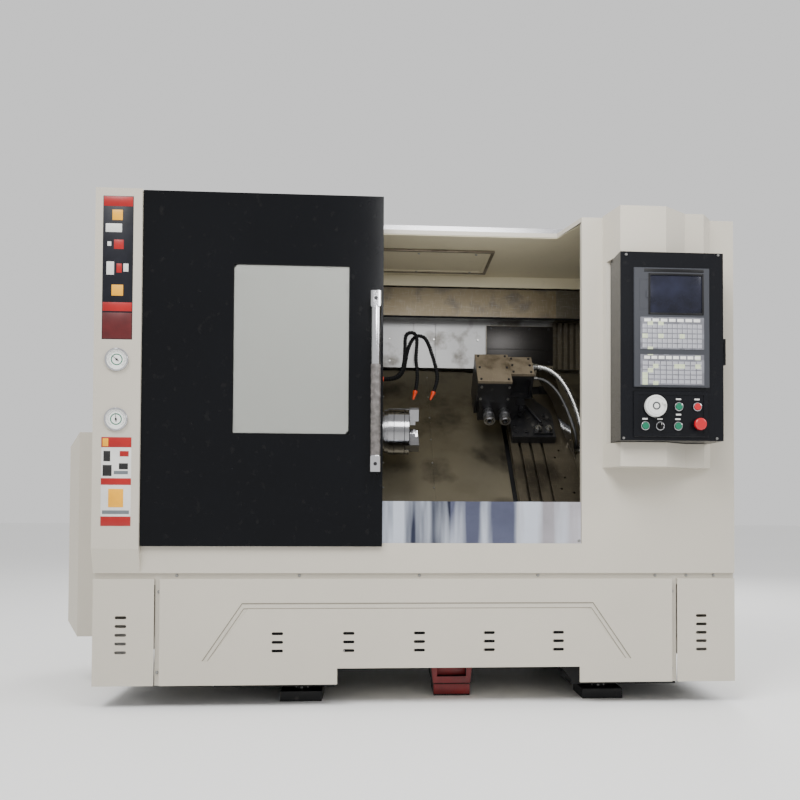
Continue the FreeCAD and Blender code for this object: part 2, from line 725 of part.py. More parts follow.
def front_frame():
    """Front casing sheet: right column, apron strip and the field behind the door."""
    sheet = box(BODY_LEFT, BODY_RIGHT, APRON_Y, APRON_Y + SHEET, JOINT_Z, FRAME_TOP_Z)
    opening = box(OPENING_LEFT, OPENING_RIGHT, APRON_Y - 1, APRON_Y + 5, OPENING_SILL_Z, FRAME_TOP_Z + 1)
    y1 = APRON_Y + COLUMN_RETURN
    column = box(OPENING_RIGHT, OPENING_RIGHT + SHEET, APRON_Y, y1, OPENING_SILL_Z, FRAME_TOP_Z)
    jamb = box(OPENING_LEFT - SHEET, OPENING_LEFT, APRON_Y, y1, OPENING_SILL_Z, FRAME_TOP_Z)
    sill_x0 = OPENING_LEFT - SHEET
    sill_x1 = OPENING_RIGHT + SHEET
    sill = box(sill_x0, sill_x1, APRON_Y, APRON_Y + 16, OPENING_SILL_Z - SHEET, OPENING_SILL_Z)
    x0 = BODY_LEFT + SHEET
    foot = box(x0, BODY_RIGHT - SHEET, APRON_Y, APRON_Y + SKIRT_RECESS, JOINT_Z, JOINT_Z + SHEET)
    holes = [rod((GAUGE_X, APRON_Y - 1, z), (0, 1, 0), GAUGE_BODY_RADIUS + 1, 10.0) for z in GAUGE_Z]
    return sheet.cut([opening] + holes).fuse([column, jamb, sill, foot])


def gauge_column():
    """Left front column that stands proud and carries the two gauges."""
    x0 = BODY_LEFT
    x1 = BODY_LEFT + GAUGE_COLUMN_WIDTH
    front = APRON_Y - GAUGE_COLUMN_PROUD
    back = APRON_Y
    cap_y = TRACK_Y - 10.0
    outline = (
        (front, GAUGE_COLUMN_FOOT_Z),
        (front, GAUGE_COLUMN_TOP_Z),
        (cap_y, GAUGE_COLUMN_TOP_Z),
        (cap_y, ROOF_Z),
        (back, ROOF_Z),
        (back, JOINT_Z),
    )
    inner = (
        (front + SHEET, GAUGE_COLUMN_FOOT_Z + SHEET),
        (front + SHEET, GAUGE_COLUMN_TOP_Z - SHEET),
        (cap_y - SHEET, GAUGE_COLUMN_TOP_Z - SHEET),
        (cap_y - SHEET, ROOF_Z + SHEET),
        (back + 1, ROOF_Z + SHEET),
        (back + 1, GAUGE_COLUMN_FOOT_Z - 60.0),
    )
    shell = prism_x(outline, x0, x1).cut(prism_x(inner, x0 + SHEET, x1 - SHEET))
    holes = [rod((GAUGE_X, front - 1, z), (0, 1, 0), GAUGE_BODY_RADIUS + 1, 10.0) for z in GAUGE_Z]
    return shell.cut(holes)


def pressure_gauges():
    """Two round gauges: bezel flange, body behind the sheet and pipe stub."""
    front = APRON_Y - GAUGE_COLUMN_PROUD
    shapes = []
    for z in GAUGE_Z:
        flange = rod((GAUGE_X, front - 7.0, z), (0, 1, 0), GAUGE_RADIUS, 7.0)
        face = rod((GAUGE_X, front - 8.0, z), (0, 1, 0), GAUGE_RADIUS - 5.0, 5.0)
        body = rod((GAUGE_X, front - 1.0, z), (0, 1, 0), GAUGE_BODY_RADIUS, 34.0)
        stub = rod((GAUGE_X, front + 33.0, z), (0, 1, 0), 7.0, 22.0)
        shapes.append(flange.cut(face).fuse([body, stub]))
    return group(shapes)


def roof_outline(inset):
    """Plan of the roof, recessed over the opening, pulled in by an inset."""
    return (
        (BODY_LEFT + inset, APRON_Y + inset),
        (OPENING_LEFT - inset, APRON_Y + inset),
        (OPENING_LEFT - inset, ROOF_RECESS_Y + inset),
        (OPENING_RIGHT - ROOF_CHAMFER_X + inset * 0.4, ROOF_RECESS_Y + inset),
        (OPENING_RIGHT + inset * 1.3, APRON_Y + inset),
        (BODY_RIGHT - inset, APRON_Y + inset),
        (BODY_RIGHT - inset, REAR_Y - inset),
        (BODY_LEFT + inset, REAR_Y - inset),
    )


def roof_cover():
    """Roof tray with a folded edge all round."""
    outer = prism_z(roof_outline(0.0), FRAME_TOP_Z, ROOF_Z)
    inner = prism_z(roof_outline(SHEET), FRAME_TOP_Z - 1, ROOF_Z - SHEET)
    return outer.cut(inner)


def door_track():
    """Rail on the roof that the door's rollers run on, with its end stops."""
    x0 = BODY_LEFT + GAUGE_COLUMN_WIDTH + 2
    x1 = OPENING_RIGHT + 20.0
    half = TRACK_WIDTH / 2
    top = ROOF_Z + TRACK_HEIGHT
    rail = box(x0, x1, TRACK_Y - half, TRACK_Y + half, ROOF_Z + 4, top)
    foot = box(x0, x1, TRACK_Y - half, TRACK_Y + half + 18, ROOF_Z, ROOF_Z + 4)
    stop = box(x1 - 10, x1, TRACK_Y - half, TRACK_Y + half, top, top + 14)
    return rail.fuse([foot, stop])


def ceiling_panels():
    """Ceiling sheet with its rear band, and the hatch plate screwed under it."""
    x0 = BULKHEAD_X
    x1 = PARTITION_X
    outline = (
        (x0, APRON_Y + SHEET),
        (OPENING_LEFT - SHEET, APRON_Y + SHEET),
        (OPENING_LEFT - SHEET, ROOF_RECESS_Y + SHEET),
        (OPENING_RIGHT - ROOF_CHAMFER_X, ROOF_RECESS_Y + SHEET),
        (OPENING_RIGHT + SHEET, APRON_Y + COLUMN_RETURN),
        (x1, APRON_Y + COLUMN_RETURN),
        (x1, CEILING_BACK_Y + SHEET),
        (x0, CEILING_BACK_Y + SHEET),
    )
    sheet = prism_z(outline, CEILING_Z, FRAME_TOP_Z)
    band = box(x0, x1, CEILING_BACK_Y, CEILING_BACK_Y + SHEET, CEILING_BAND_Z, CEILING_Z)
    hatch = box(max(HATCH_X0, x0 + 5), HATCH_X1, HATCH_Y0, HATCH_Y1, CEILING_Z - HATCH_THICK, CEILING_Z)
    rim = box(max(HATCH_X0, x0 + 5) + 12, HATCH_X1 - 12, HATCH_Y0 + 12, HATCH_Y1 - 12, 0, CEILING_Z - SHEET)
    return group([sheet.fuse(band), hatch.cut(rim)])


def front_splash_plate():
    """Polished plate that closes the foot of the opening, with a folded top edge."""
    y0 = APRON_Y + SHEET + FLAT_GAP
    x0 = OPENING_LEFT + FLAT_GAP
    x1 = OPENING_RIGHT - FLAT_GAP
    plate = box(x0, x1, y0, y0 + COVER_THICK, OPENING_SILL_Z, SPLASH_TOP_Z)
    fold = box(x0, x1, y0, y0 + 9.0, SPLASH_TOP_Z - COVER_THICK, SPLASH_TOP_Z)
    return plate.fuse(fold)


def partition_outline():
    """Side view of the two inner walls, just above the way covers."""
    gap = 10.0
    y0 = APRON_Y + COLUMN_RETURN + 1
    return (
        (y0, CEILING_Z),
        (y0, slope_z(y0, gap) - 60.0),
        (slope_point(0, COVER_S0, gap).y, slope_z(slope_point(0, COVER_S0, gap).y, gap)),
        (BACK_SHEET_Y, slope_z(BACK_SHEET_Y, gap)),
        (BACK_SHEET_Y, LEDGE_Z),
        (CEILING_BACK_Y, LEDGE_Z),
        (CEILING_BACK_Y, CEILING_Z),
    )


def inner_lining():
    """Inner walls, back sheet with its pleated end, and the upper back panel."""
    left = prism_x(partition_outline(), BULKHEAD_X - SHEET, BULKHEAD_X)
    start = axis_point(BULKHEAD_X - 10.0)
    left = left.cut(rod((start.x, start.y, start.z), (1, 0, 0), NOSE_BOSS_RADIUS + FLAT_GAP, 20.0))
    right = prism_x(partition_outline(), PARTITION_X, PARTITION_X + SHEET)
    foot_z = slope_z(BACK_SHEET_Y, 10.0)
    back = box(BULKHEAD_X, PLEAT_X0, BACK_SHEET_Y, BACK_SHEET_Y + COVER_THICK, foot_z, LEDGE_Z - COVER_THICK)
    count = int((PARTITION_X - PLEAT_X0) / PLEAT_PITCH)
    outline = [(PLEAT_X0, BACK_SHEET_Y + COVER_THICK)]
    for i in range(count):
        x = PLEAT_X0 + i * PLEAT_PITCH
        outline += [(x, BACK_SHEET_Y), (x + PLEAT_PITCH / 2, BACK_SHEET_Y - PLEAT_DEPTH)]
    outline += [(PARTITION_X, BACK_SHEET_Y), (PARTITION_X, BACK_SHEET_Y + COVER_THICK)]
    pleats = prism_z(outline, foot_z, LEDGE_Z - COVER_THICK)
    ledge_top = LEDGE_Z + COVER_THICK
    back_y = BACK_SHEET_Y + COVER_THICK
    ledge = box(BULKHEAD_X, PARTITION_X, UPPER_PANEL_Y, back_y, LEDGE_Z - COVER_THICK, LEDGE_Z)
    upper = box(BULKHEAD_X, PARTITION_X, UPPER_PANEL_Y, UPPER_PANEL_Y + COVER_THICK, LEDGE_Z, UPPER_PANEL_Z1)
    hangers = []
    for x in (BULKHEAD_X + 30.0, PARTITION_X - 60.0):
        y0 = UPPER_PANEL_Y + COVER_THICK
        hangers.append(box(x, x + 30, y0, y0 + 12, ledge_top, FRAME_TOP_Z))
    return group([left, right, back.fuse([pleats, ledge, upper] + hangers)])


def fixed_way_covers():
    """Fixed cover plates at both ends of the ways, carried on posts from the bed."""
    left = box(BULKHEAD_X + FLAT_GAP, FIXED_COVER_X1, COVER_S0, COVER_S1, -COVER_THICK, 0)
    nose = box(BULKHEAD_X + FLAT_GAP, FIXED_COVER_X1, COVER_S0, COVER_S0 + COVER_THICK, -30.0, -COVER_THICK)
    posts = []
    post_x = BULKHEAD_X + 20.0
    for s in (-215.0, 175.0):
        posts.append(box(post_x, post_x + 30, s, s + 40, BED_N, -COVER_THICK))
    right_top = COVER_THICK - 2 * COVER_STEP
    right = box(RIGHT_FIXED_X0, PARTITION_X + 60.0, COVER_S0, COVER_S1, right_top - COVER_THICK, right_top)
    right_posts = []
    post_x = PARTITION_X + 22.0
    for s in (-215.0, 175.0):
        right_posts.append(box(post_x, post_x + 30, s, s + 40, BED_N, right_top - COVER_THICK))
    return group([on_slope(left.fuse([nose] + posts)), on_slope(right.fuse(right_posts))])


# ---------------------------------------------------------------- headstock and drive
def headstock():
    """Headstock casting on the bed with its front boss, and the spindle bearings."""
    x1 = BULKHEAD_X - SHEET - FLAT_GAP
    x0 = x1 - HEADSTOCK_LENGTH
    half = HEADSTOCK_HALF
    block = box(x0, x1, -half, half, BED_N, AXIS_N + half)
    boss_x1 = NOSE_X - NOSE_FLANGE_THICK - 1.0
    boss = rod((x1, 0, AXIS_N), (1, 0, 0), NOSE_BOSS_RADIUS, boss_x1 - x1)
    bore = rod((x0 - 1, 0, AXIS_N), (1, 0, 0), SPINDLE_RADIUS + 6.0, boss_x1 - x0 + 2)
    seats = []
    bearings = []
    inner = SPINDLE_RADIUS + PIN_GAP
    fits = ((boss_x1 - BEARING_WIDTH - 4.0, BEARING_WIDTH + 5.0), (x0 + 4.0, BEARING_WIDTH))
    for start, seat_length in fits:
        seats.append(rod((start, 0, AXIS_N), (1, 0, 0), BEARING_RADIUS + PIN_GAP, seat_length))
        bearings.append(ring(V(start, 0, AXIS_N), V(1, 0, 0), BEARING_RADIUS, inner, BEARING_WIDTH))
    casting = block.fuse(boss).cut([bore] + seats)
    return group([on_slope(casting)] + [on_slope(b) for b in bearings])


def spindle_shaft():
    """Hollow spindle with its nose flange."""
    start = V(SPINDLE_REAR_X, 0, AXIS_N)
    length = NOSE_X - SPINDLE_REAR_X
    shaft = rod(start, V(1, 0, 0), SPINDLE_RADIUS, length)
    flange = rod(V(NOSE_X - NOSE_FLANGE_THICK, 0, AXIS_N), V(1, 0, 0), NOSE_FLANGE_RADIUS, NOSE_FLANGE_THICK)
    bore = rod(V(SPINDLE_REAR_X - 1, 0, AXIS_N), V(1, 0, 0), CHUCK_BORE_RADIUS, length + 2)
    return on_slope(shaft.fuse(flange).cut(bore))


def grooved_pulley(radius, bore):
    """Belt pulley with a rim at each end, drawn along X from the origin."""
    hub = rod((0, 0, 0), (1, 0, 0), radius, PULLEY_WIDTH)
    rims = [rod((x, 0, 0), (1, 0, 0), radius + 5.0, 4.0) for x in (-4.0, PULLEY_WIDTH)]
    return hub.fuse(rims).cut(rod((-5, 0, 0), (1, 0, 0), bore, PULLEY_WIDTH + 10))


def spindle_rear_parts():
    """Spindle pulley and the chucking cylinder on the spindle's tail."""
    pulley = grooved_pulley(SPINDLE_PULLEY_RADIUS, SPINDLE_RADIUS)
    pulley.translate(V(PULLEY_X0, 0, AXIS_N))
    start = V(SPINDLE_REAR_X - CYLINDER_LENGTH, 0, AXIS_N)
    cylinder = rod(start, V(1, 0, 0), CYLINDER_RADIUS, CYLINDER_LENGTH)
    neck = rod(start + V(-40, 0, 0), V(1, 0, 0), 30.0, 40.0)
    return group([on_slope(pulley), on_slope(cylinder.fuse(neck))])


def chuck_body():
    """Power chuck: back plate, body, through hole and three jaw slots."""
    start = V(NOSE_X, 0, AXIS_N)
    plate = rod(start, V(1, 0, 0), BACKPLATE_RADIUS, BACKPLATE_THICK)
    body = rod(start + V(BACKPLATE_THICK, 0, 0), V(1, 0, 0), CHUCK_RADIUS, CHUCK_LENGTH)
    shape = plate.fuse(body)
    front = NOSE_X + BACKPLATE_THICK + CHUCK_LENGTH
    edge = [e for e in shape.Edges if e.BoundBox.XMin > front - 0.01 and e.BoundBox.XMax < front + 0.01]
    shape = shape.makeChamfer(2.0, edge)
    shape = shape.cut(rod(start + V(-1, 0, 0), V(1, 0, 0), CHUCK_BORE_RADIUS, 200.0))
    shape = on_slope(shape)
    centre = axis_point(0.0)
    half = JAW_SLOT_WIDTH / 2
    slots = []
    for angle in JAW_ANGLES_DEG:
        slot = box(front - JAW_SLOT_DEPTH, front + 1, -half, half, JAW_INNER - 8.0, CHUCK_RADIUS + 5)
        slots.append(turned(slot, angle, centre))
    return shape.cut(slots)


def turned(shape, angle, centre):
    """Turn a shape drawn upright about X onto the spindle axis; positive leans to the front."""
    placed = shape.copy()
    placed.rotate(V(0, 0, 0), V(1, 0, 0), angle)
    placed.translate(V(0, centre.y, centre.z))
    return placed


def chuck_jaw(angle):
    """One stepped jaw: a base in the chuck's slot and a top jaw with two screw holes."""
    front = NOSE_X + BACKPLATE_THICK + CHUCK_LENGTH
    half = JAW_SLOT_WIDTH / 2 - SOFT_GAP
    base = box(front - JAW_SLOT_DEPTH + 1, front + 1, -half, half, JAW_INNER, CHUCK_RADIUS - 2)
    half = JAW_WIDTH / 2
    top = box(front + 1, front + JAW_PROUD, -half, half, JAW_INNER, JAW_OUTER)
    step_x = front + JAW_PROUD
    step = box(step_x - 12, step_x + 1, -half - 1, half + 1, JAW_INNER - 1, JAW_INNER + 14)
    holes = [rod((front + 12, 0, r), (1, 0, 0), 7.5, 30.0) for r in (54.0, 73.0)]
    return turned(base.fuse(top).cut([step] + holes), angle, axis_point(0.0))


def spindle_motor():
    """Spindle motor on its shelf bolted to the end of the bed."""
    half = MOTOR_HALF
    x0 = MOTOR_FRONT_X - MOTOR_LENGTH
    flange_x = MOTOR_FRONT_X - 12
    core = half - 6
    body = box(x0 + 70, flange_x, MOTOR_Y - core, MOTOR_Y + core, MOTOR_Z - core, MOTOR_Z + core)
    tail = rod((x0, MOTOR_Y, MOTOR_Z), (1, 0, 0), half - 12, 70.0)
    flange = box(flange_x, MOTOR_FRONT_X, MOTOR_Y - half, MOTOR_Y + half, MOTOR_Z - half, MOTOR_Z + half)
    bore = rod((MOTOR_FRONT_X - 60, MOTOR_Y, MOTOR_Z), (1, 0, 0), MOTOR_SHAFT_RADIUS + PIN_GAP, 70.0)
    terminal = box(x0 + 150, x0 + 240, MOTOR_Y - 40, MOTOR_Y + 40, MOTOR_Z + half - 6, MOTOR_Z + half + 40)
    motor = body.fuse([tail, flange, terminal]).cut(bore)
    top = MOTOR_Z - half
    shelf = box(x0 + 80, BED_X0, MOTOR_Y - half, MOTOR_Y + half, top - SHELF_THICK, top)
    upright = box(BED_X0 - SHELF_THICK, BED_X0, MOTOR_Y - half, MOTOR_Y + half, top - 120, top - SHELF_THICK)
    return group([motor, shelf.fuse(upright)])


def motor_pulley():
    """Motor shaft and its pulley."""
    length = PULLEY_X0 + PULLEY_WIDTH - MOTOR_FRONT_X + 62
    shaft = rod((MOTOR_FRONT_X - 58, MOTOR_Y, MOTOR_Z), (1, 0, 0), MOTOR_SHAFT_RADIUS, length)
    pulley = grooved_pulley(MOTOR_PULLEY_RADIUS, MOTOR_SHAFT_RADIUS - 1.0)
    pulley.translate(V(PULLEY_X0, MOTOR_Y, MOTOR_Z))
    return shaft.fuse(pulley)


def belt_loop(extra, x0, x1):
    """Solid hull round both pulleys, grown by a margin."""
    top = axis_point(0.0)
    r1 = SPINDLE_PULLEY_RADIUS + extra
    r2 = MOTOR_PULLEY_RADIUS + extra
    dy = MOTOR_Y - top.y
    dz = MOTOR_Z - top.z
    span = math.hypot(dy, dz)
    heading = math.atan2(dz, dy)
    lean = math.acos((r1 - r2) / span)
    corners = []
    for sign in (1, -1):
        a = heading + sign * lean
        corners.append((top.y + r1 * math.cos(a), top.z + r1 * math.sin(a)))
    for sign in (-1, 1):
        a = heading + sign * lean
        corners.append((MOTOR_Y + r2 * math.cos(a), MOTOR_Z + r2 * math.sin(a)))
    middle = prism_x(corners, x0, x1)
    ends = [
        rod((x0, top.y, top.z), (1, 0, 0), r1, x1 - x0),
        rod((x0, MOTOR_Y, MOTOR_Z), (1, 0, 0), r2, x1 - x0),
    ]
    return middle.fuse(ends)


def drive_belt():
    """Flat belt round the two pulleys."""
    x0 = PULLEY_X0 + 3.0
    x1 = PULLEY_X0 + PULLEY_WIDTH - 3.0
    return belt_loop(SOFT_GAP + BELT_THICK, x0, x1).cut(belt_loop(SOFT_GAP, x0 - 1, x1 + 1))


def side_cover():
    """Chamfered sheet box on the left wall over the motor's tail."""
    x0 = BODY_LEFT - SIDE_COVER_WIDTH
    c = SIDE_COVER_CHAMFER

    def body(t):
        """Chamfered block pulled in by a wall."""
        plan = (
            (BODY_LEFT, SIDE_COVER_Y0 + t),
            (x0 + c, SIDE_COVER_Y0 + t),
            (x0 + t, SIDE_COVER_Y0 + c),
            (x0 + t, SIDE_COVER_Y1 - c),
            (x0 + c, SIDE_COVER_Y1 - t),
            (BODY_LEFT, SIDE_COVER_Y1 - t),
        )
        front = (
            (BODY_LEFT, SIDE_COVER_Z0 + t),
            (x0 + c, SIDE_COVER_Z0 + t),
            (x0 + t, SIDE_COVER_Z0 + c),
            (x0 + t, SIDE_COVER_Z1 - c),
            (x0 + c, SIDE_COVER_Z1 - t),
            (BODY_LEFT, SIDE_COVER_Z1 - t),
        )
        upright = prism_z(plan, SIDE_COVER_Z0, SIDE_COVER_Z1)
        return upright.common(prism_y(front, SIDE_COVER_Y0, SIDE_COVER_Y1))

    return body(0.0).cut(body(SHEET))


# ---------------------------------------------------------------- carriage
def z_drive():
    """Bed rails, screw bearing blocks and the servo motor of the long axis."""
    shapes = []
    for s in RAIL_S:
        half = RAIL_WIDTH / 2
        shapes.append(box(RAIL_X0, RAIL_X1, s - half, s + half, BED_N, BED_N + RAIL_HEIGHT))
    floor = BED_N - 45.0
    for x in (Z_SCREW_X0, BED_X1 - 60.0):
        block = box(x, x + 34, -45.0, 45.0, floor, Z_SCREW_N + 34)
        shapes.append(block.cut(rod((x - 1, 0, Z_SCREW_N), (1, 0, 0), Z_SCREW_RADIUS + PIN_GAP, 40.0)))
    half = SERVO_HALF
    mount = box(BED_X1, BED_X1 + 12, -half - 20, half + 20, Z_SCREW_N - 90, Z_SCREW_N + half + 8)
    mount = mount.cut(rod((BED_X1 - 1, 0, Z_SCREW_N), (1, 0, 0), Z_SCREW_RADIUS + 2, 20.0))
    front = BED_X1 + 12
    motor = box(front, front + SERVO_LENGTH, -half, half, Z_SCREW_N - half, Z_SCREW_N + half)
    motor = motor.cut(rod((front - 1, 0, Z_SCREW_N), (1, 0, 0), Z_SCREW_RADIUS + PIN_GAP, 40.0))
    rear = front + SERVO_LENGTH
    plug = box(rear - 44, rear - 8, -18, 18, Z_SCREW_N + half, Z_SCREW_N + half + 24)
    return group([on_slope(s) for s in shapes + [mount, motor.fuse(plug)]])


def z_screw():
    """Ball screw along the bed."""
    return on_slope(rod((Z_SCREW_X0 - 4, 0, Z_SCREW_N), (1, 0, 0), Z_SCREW_RADIUS, Z_SCREW_X1 - Z_SCREW_X0))


def saddle():
    """Saddle on the bed rails, with the trough and rails for the cross slide."""
    body = box(SADDLE_X0, SADDLE_X1, SADDLE_S0, SADDLE_S1, SADDLE_BOTTOM_N, SADDLE_TOP_N)
    mid = (TABLE_X0 + TABLE_X1) / 2
    half = TROUGH_WIDTH / 2
    trough = box(mid - half, mid + half, SADDLE_S0 - 1, SADDLE_S1 + 1, TROUGH_N, SADDLE_TOP_N + 1)
    adds = []
    for inset in X_RAIL_INSET:
        x = TABLE_X0 + inset
        adds.append(box(x, x + X_RAIL_WIDTH, X_RAIL_S0, X_RAIL_S1, SADDLE_TOP_N, X_RAIL_TOP_N))
    grip = RAIL_WIDTH / 2
    for s in RAIL_S:
        runner = box(SADDLE_X0 + 10, SADDLE_X1 - 10, s - 38, s + 38, BED_N + 6, SADDLE_BOTTOM_N)
        gap = 0.2
        slot = box(SADDLE_X0, SADDLE_X1, s - grip - gap, s + grip + gap, BED_N, BED_N + RAIL_HEIGHT + gap)
        adds.append(runner.cut(slot))
    nut = box(mid - 40, mid + 40, -40, 40, BED_N - 8, SADDLE_BOTTOM_N)
    nut_length = SADDLE_X1 - SADDLE_X0 + 10
    nut_bore = rod((SADDLE_X0 - 5, 0, Z_SCREW_N), (1, 0, 0), Z_SCREW_RADIUS + PIN_GAP, nut_length)
    blocks = []
    for s0, s1 in ((SADDLE_S0, SADDLE_S0 + 26), (SADDLE_S1 - 40, SADDLE_S1)):
        block = box(mid - half, mid + half, s0, s1, TROUGH_N, SADDLE_TOP_N)
        blocks.append(block.cut(rod((mid, s0 - 1, X_SCREW_N), (0, 1, 0), SCREW_RADIUS + PIN_GAP, 60.0)))
    return on_slope(body.cut(trough).fuse(adds + [nut] + blocks).cut(nut_bore))


def x_servo():
    """Cross-slide servo motor on the saddle's upper end, with its mounting plate."""
    mid = (TABLE_X0 + TABLE_X1) / 2
    half = SERVO_HALF
    top = X_SCREW_N + half
    plate = box(mid - half - 10, mid + half + 10, SADDLE_S1, SADDLE_S1 + 14, X_SCREW_N - half + 2, top)
    start = SADDLE_S1 + 14
    motor = box(mid - half, mid + half, start, start + SERVO_LENGTH, X_SCREW_N - half + 2, top)
    bore = rod((mid, SADDLE_S1 - 1, X_SCREW_N), (0, 1, 0), SCREW_RADIUS + PIN_GAP, 50.0)
    return on_slope(plate.fuse(motor).cut(bore))


def x_screw():
    """Ball screw of the cross slide."""
    mid = (TABLE_X0 + TABLE_X1) / 2
    return on_slope(rod((mid, X_SCREW_S0, X_SCREW_N), (0, 1, 0), SCREW_RADIUS, X_SCREW_S1 - X_SCREW_S0))


def gland_positions():
    """Places of the two glands on the carriage cover, as (x, s, radius)."""
    ends = []
    for route, radius in ((CONDUIT_ROUTE, CONDUIT_RADIUS), (HOSE_ROUTE, HOSE_RADIUS)):
        x, s, _n = route[-1]
        ends.append((CONDUIT_X + x, s, radius))
    return ends


def carriage_cover():
    """Way covers that ride on the saddle, the rear apron, its dark plate and the glands."""
    low = -COVER_THICK - 2 * COVER_STEP
    left = box(INNER_COVER_X0, SADDLE_X0 + 12, COVER_S0 + 6, COVER_S1 - 4, low, low + COVER_THICK)
    left_fold = box(SADDLE_X0 + 10, SADDLE_X0 + 12, COVER_S0 + 6, COVER_S1 - 4, SADDLE_TOP_N, low)
    right = box(SADDLE_X1 - 12, RIGHT_INNER_X1, COVER_S0, COVER_S1 - 30, 0, COVER_THICK)
    right_fold = box(SADDLE_X1 - 12, SADDLE_X1 - 10, COVER_S0 + 30, COVER_S1 - 30, SADDLE_TOP_N, 0)
    rear = box(SADDLE_X0 + 10, SADDLE_X1 - 10, X_RAIL_S1 + 12, COVER_S1 - 34, low, low + COVER_THICK)
    glands = []
    for x, s, radius in gland_positions():
        glands.append(rod((x, s, COVER_THICK), (0, 0, 1), radius + 5, GLAND_HEIGHT))
    cover = on_slope(left.fuse([left_fold, rear, right, right_fold] + glands))
    foot_y = DARK_PLATE_Y
    foot_z = slope_z(foot_y, low + COVER_THICK)
    tab_y = foot_y - REAR_TAB_REACH
    tab = prism_x(
        (
            (tab_y, slope_z(tab_y, low)),
            (tab_y, slope_z(tab_y, low) + COVER_THICK * ROOT2),
            (foot_y + COVER_THICK, foot_z),
            (foot_y + COVER_THICK, slope_z(foot_y, low)),
        ),
        SADDLE_X0 + 14,
        SADDLE_X1 - 14,
    )
    riser_z0 = slope_z(foot_y, low)
    riser = box(SADDLE_X0 + 14, SADDLE_X1 - 14, foot_y, foot_y + COVER_THICK, riser_z0, DARK_PLATE_Z1)
    wide_z = slope_z(foot_y, 14.0)
    plate = box(DARK_PLATE_X0, DARK_PLATE_X1, foot_y, foot_y + COVER_THICK, wide_z, DARK_PLATE_Z1)
    return cover.fuse([tab, riser, plate])


def way_cover_left():
    """Middle telescopic cover to the left of the table."""
    top = -COVER_STEP
    sheet = box(MID_COVER_X0, MID_COVER_X1, COVER_S0 + 4, COVER_S1 - 2, top - COVER_THICK, top)
    return on_slope(sheet)


def way_cover_right():
    """Middle telescopic cover to the right of the table."""
    top = -COVER_GAP
    sheet = box(RIGHT_MID_X0, RIGHT_MID_X1, COVER_S0 + 2, COVER_S1 - 2, top - COVER_THICK, top)
    return on_slope(sheet)


# ---------------------------------------------------------------- tool table and power head
def tool_table():
    """Tool table with three T-slots, its runner blocks and nut, and the black tool plate."""
    base_n = TABLE_N - TABLE_THICK
    slab = box(TABLE_X0, TABLE_X1, TABLE_S0, TABLE_S1, base_n, TABLE_N)
    half = T_SLOT_WIDTH / 2
    slots = []
    for x in T_SLOT_X:
        x = TABLE_X0 + x
        slots.append(box(x - half, x + half, TABLE_S0 - 1, TABLE_S1 + 1, TABLE_N - T_SLOT_DEPTH, TABLE_N + 1))
        deep = TABLE_N - T_SLOT_DEPTH
        foot = box(x - 2 * half, x + 2 * half, TABLE_S0 - 1, TABLE_S1 + 1, deep - T_SLOT_DEPTH + 6, deep)
        slots.append(foot)
    holes = []
    for x, s in ((158.0, -60.0), (178.0, -20.0), (178.0, -170.0), (158.0, -230.0), (200.0, -250.0)):
        holes.append(rod((TABLE_X0 + x, s, TABLE_N - 20), (0, 0, 1), 5.0, 25.0))
    blocks = []
    gap = 0.2
    for inset in X_RAIL_INSET:
        for s in BLOCK_S:
            x = TABLE_X0 + inset
            block = box(x - 16, x + X_RAIL_WIDTH + 16, s, s + BLOCK_LENGTH, SADDLE_TOP_N + 3, base_n)
            x1 = x + X_RAIL_WIDTH + gap
            slot = box(x - gap, x1, s - 1, s + BLOCK_LENGTH + 1, SADDLE_TOP_N, X_RAIL_TOP_N + gap)
            blocks.append(block.cut(slot))
    mid = (TABLE_X0 + TABLE_X1) / 2
    nut = box(mid - 28, mid + 28, -45, 45, X_SCREW_N - 22, base_n)
    nut_bore = rod((mid, -50, X_SCREW_N), (0, 1, 0), SCREW_RADIUS + PIN_GAP, 100.0)
    table = slab.cut(slots + holes).fuse(blocks + [nut.cut(nut_bore)])
    top = TABLE_N + TOOL_PLATE_THICK
    outline = (
        (TABLE_X0 + 4, 22.0),
        (TABLE_X0 + 4, 300.0),
        (TABLE_X0 + 84, 300.0),
        (TABLE_X0 + 165, 186.0),
        (TABLE_X0 + 173, 149.0),
        (TABLE_X0 + 170, 22.0),
    )
    plate = prism_z(outline, TABLE_N, top)
    return group([on_slope(table), on_slope(plate)])


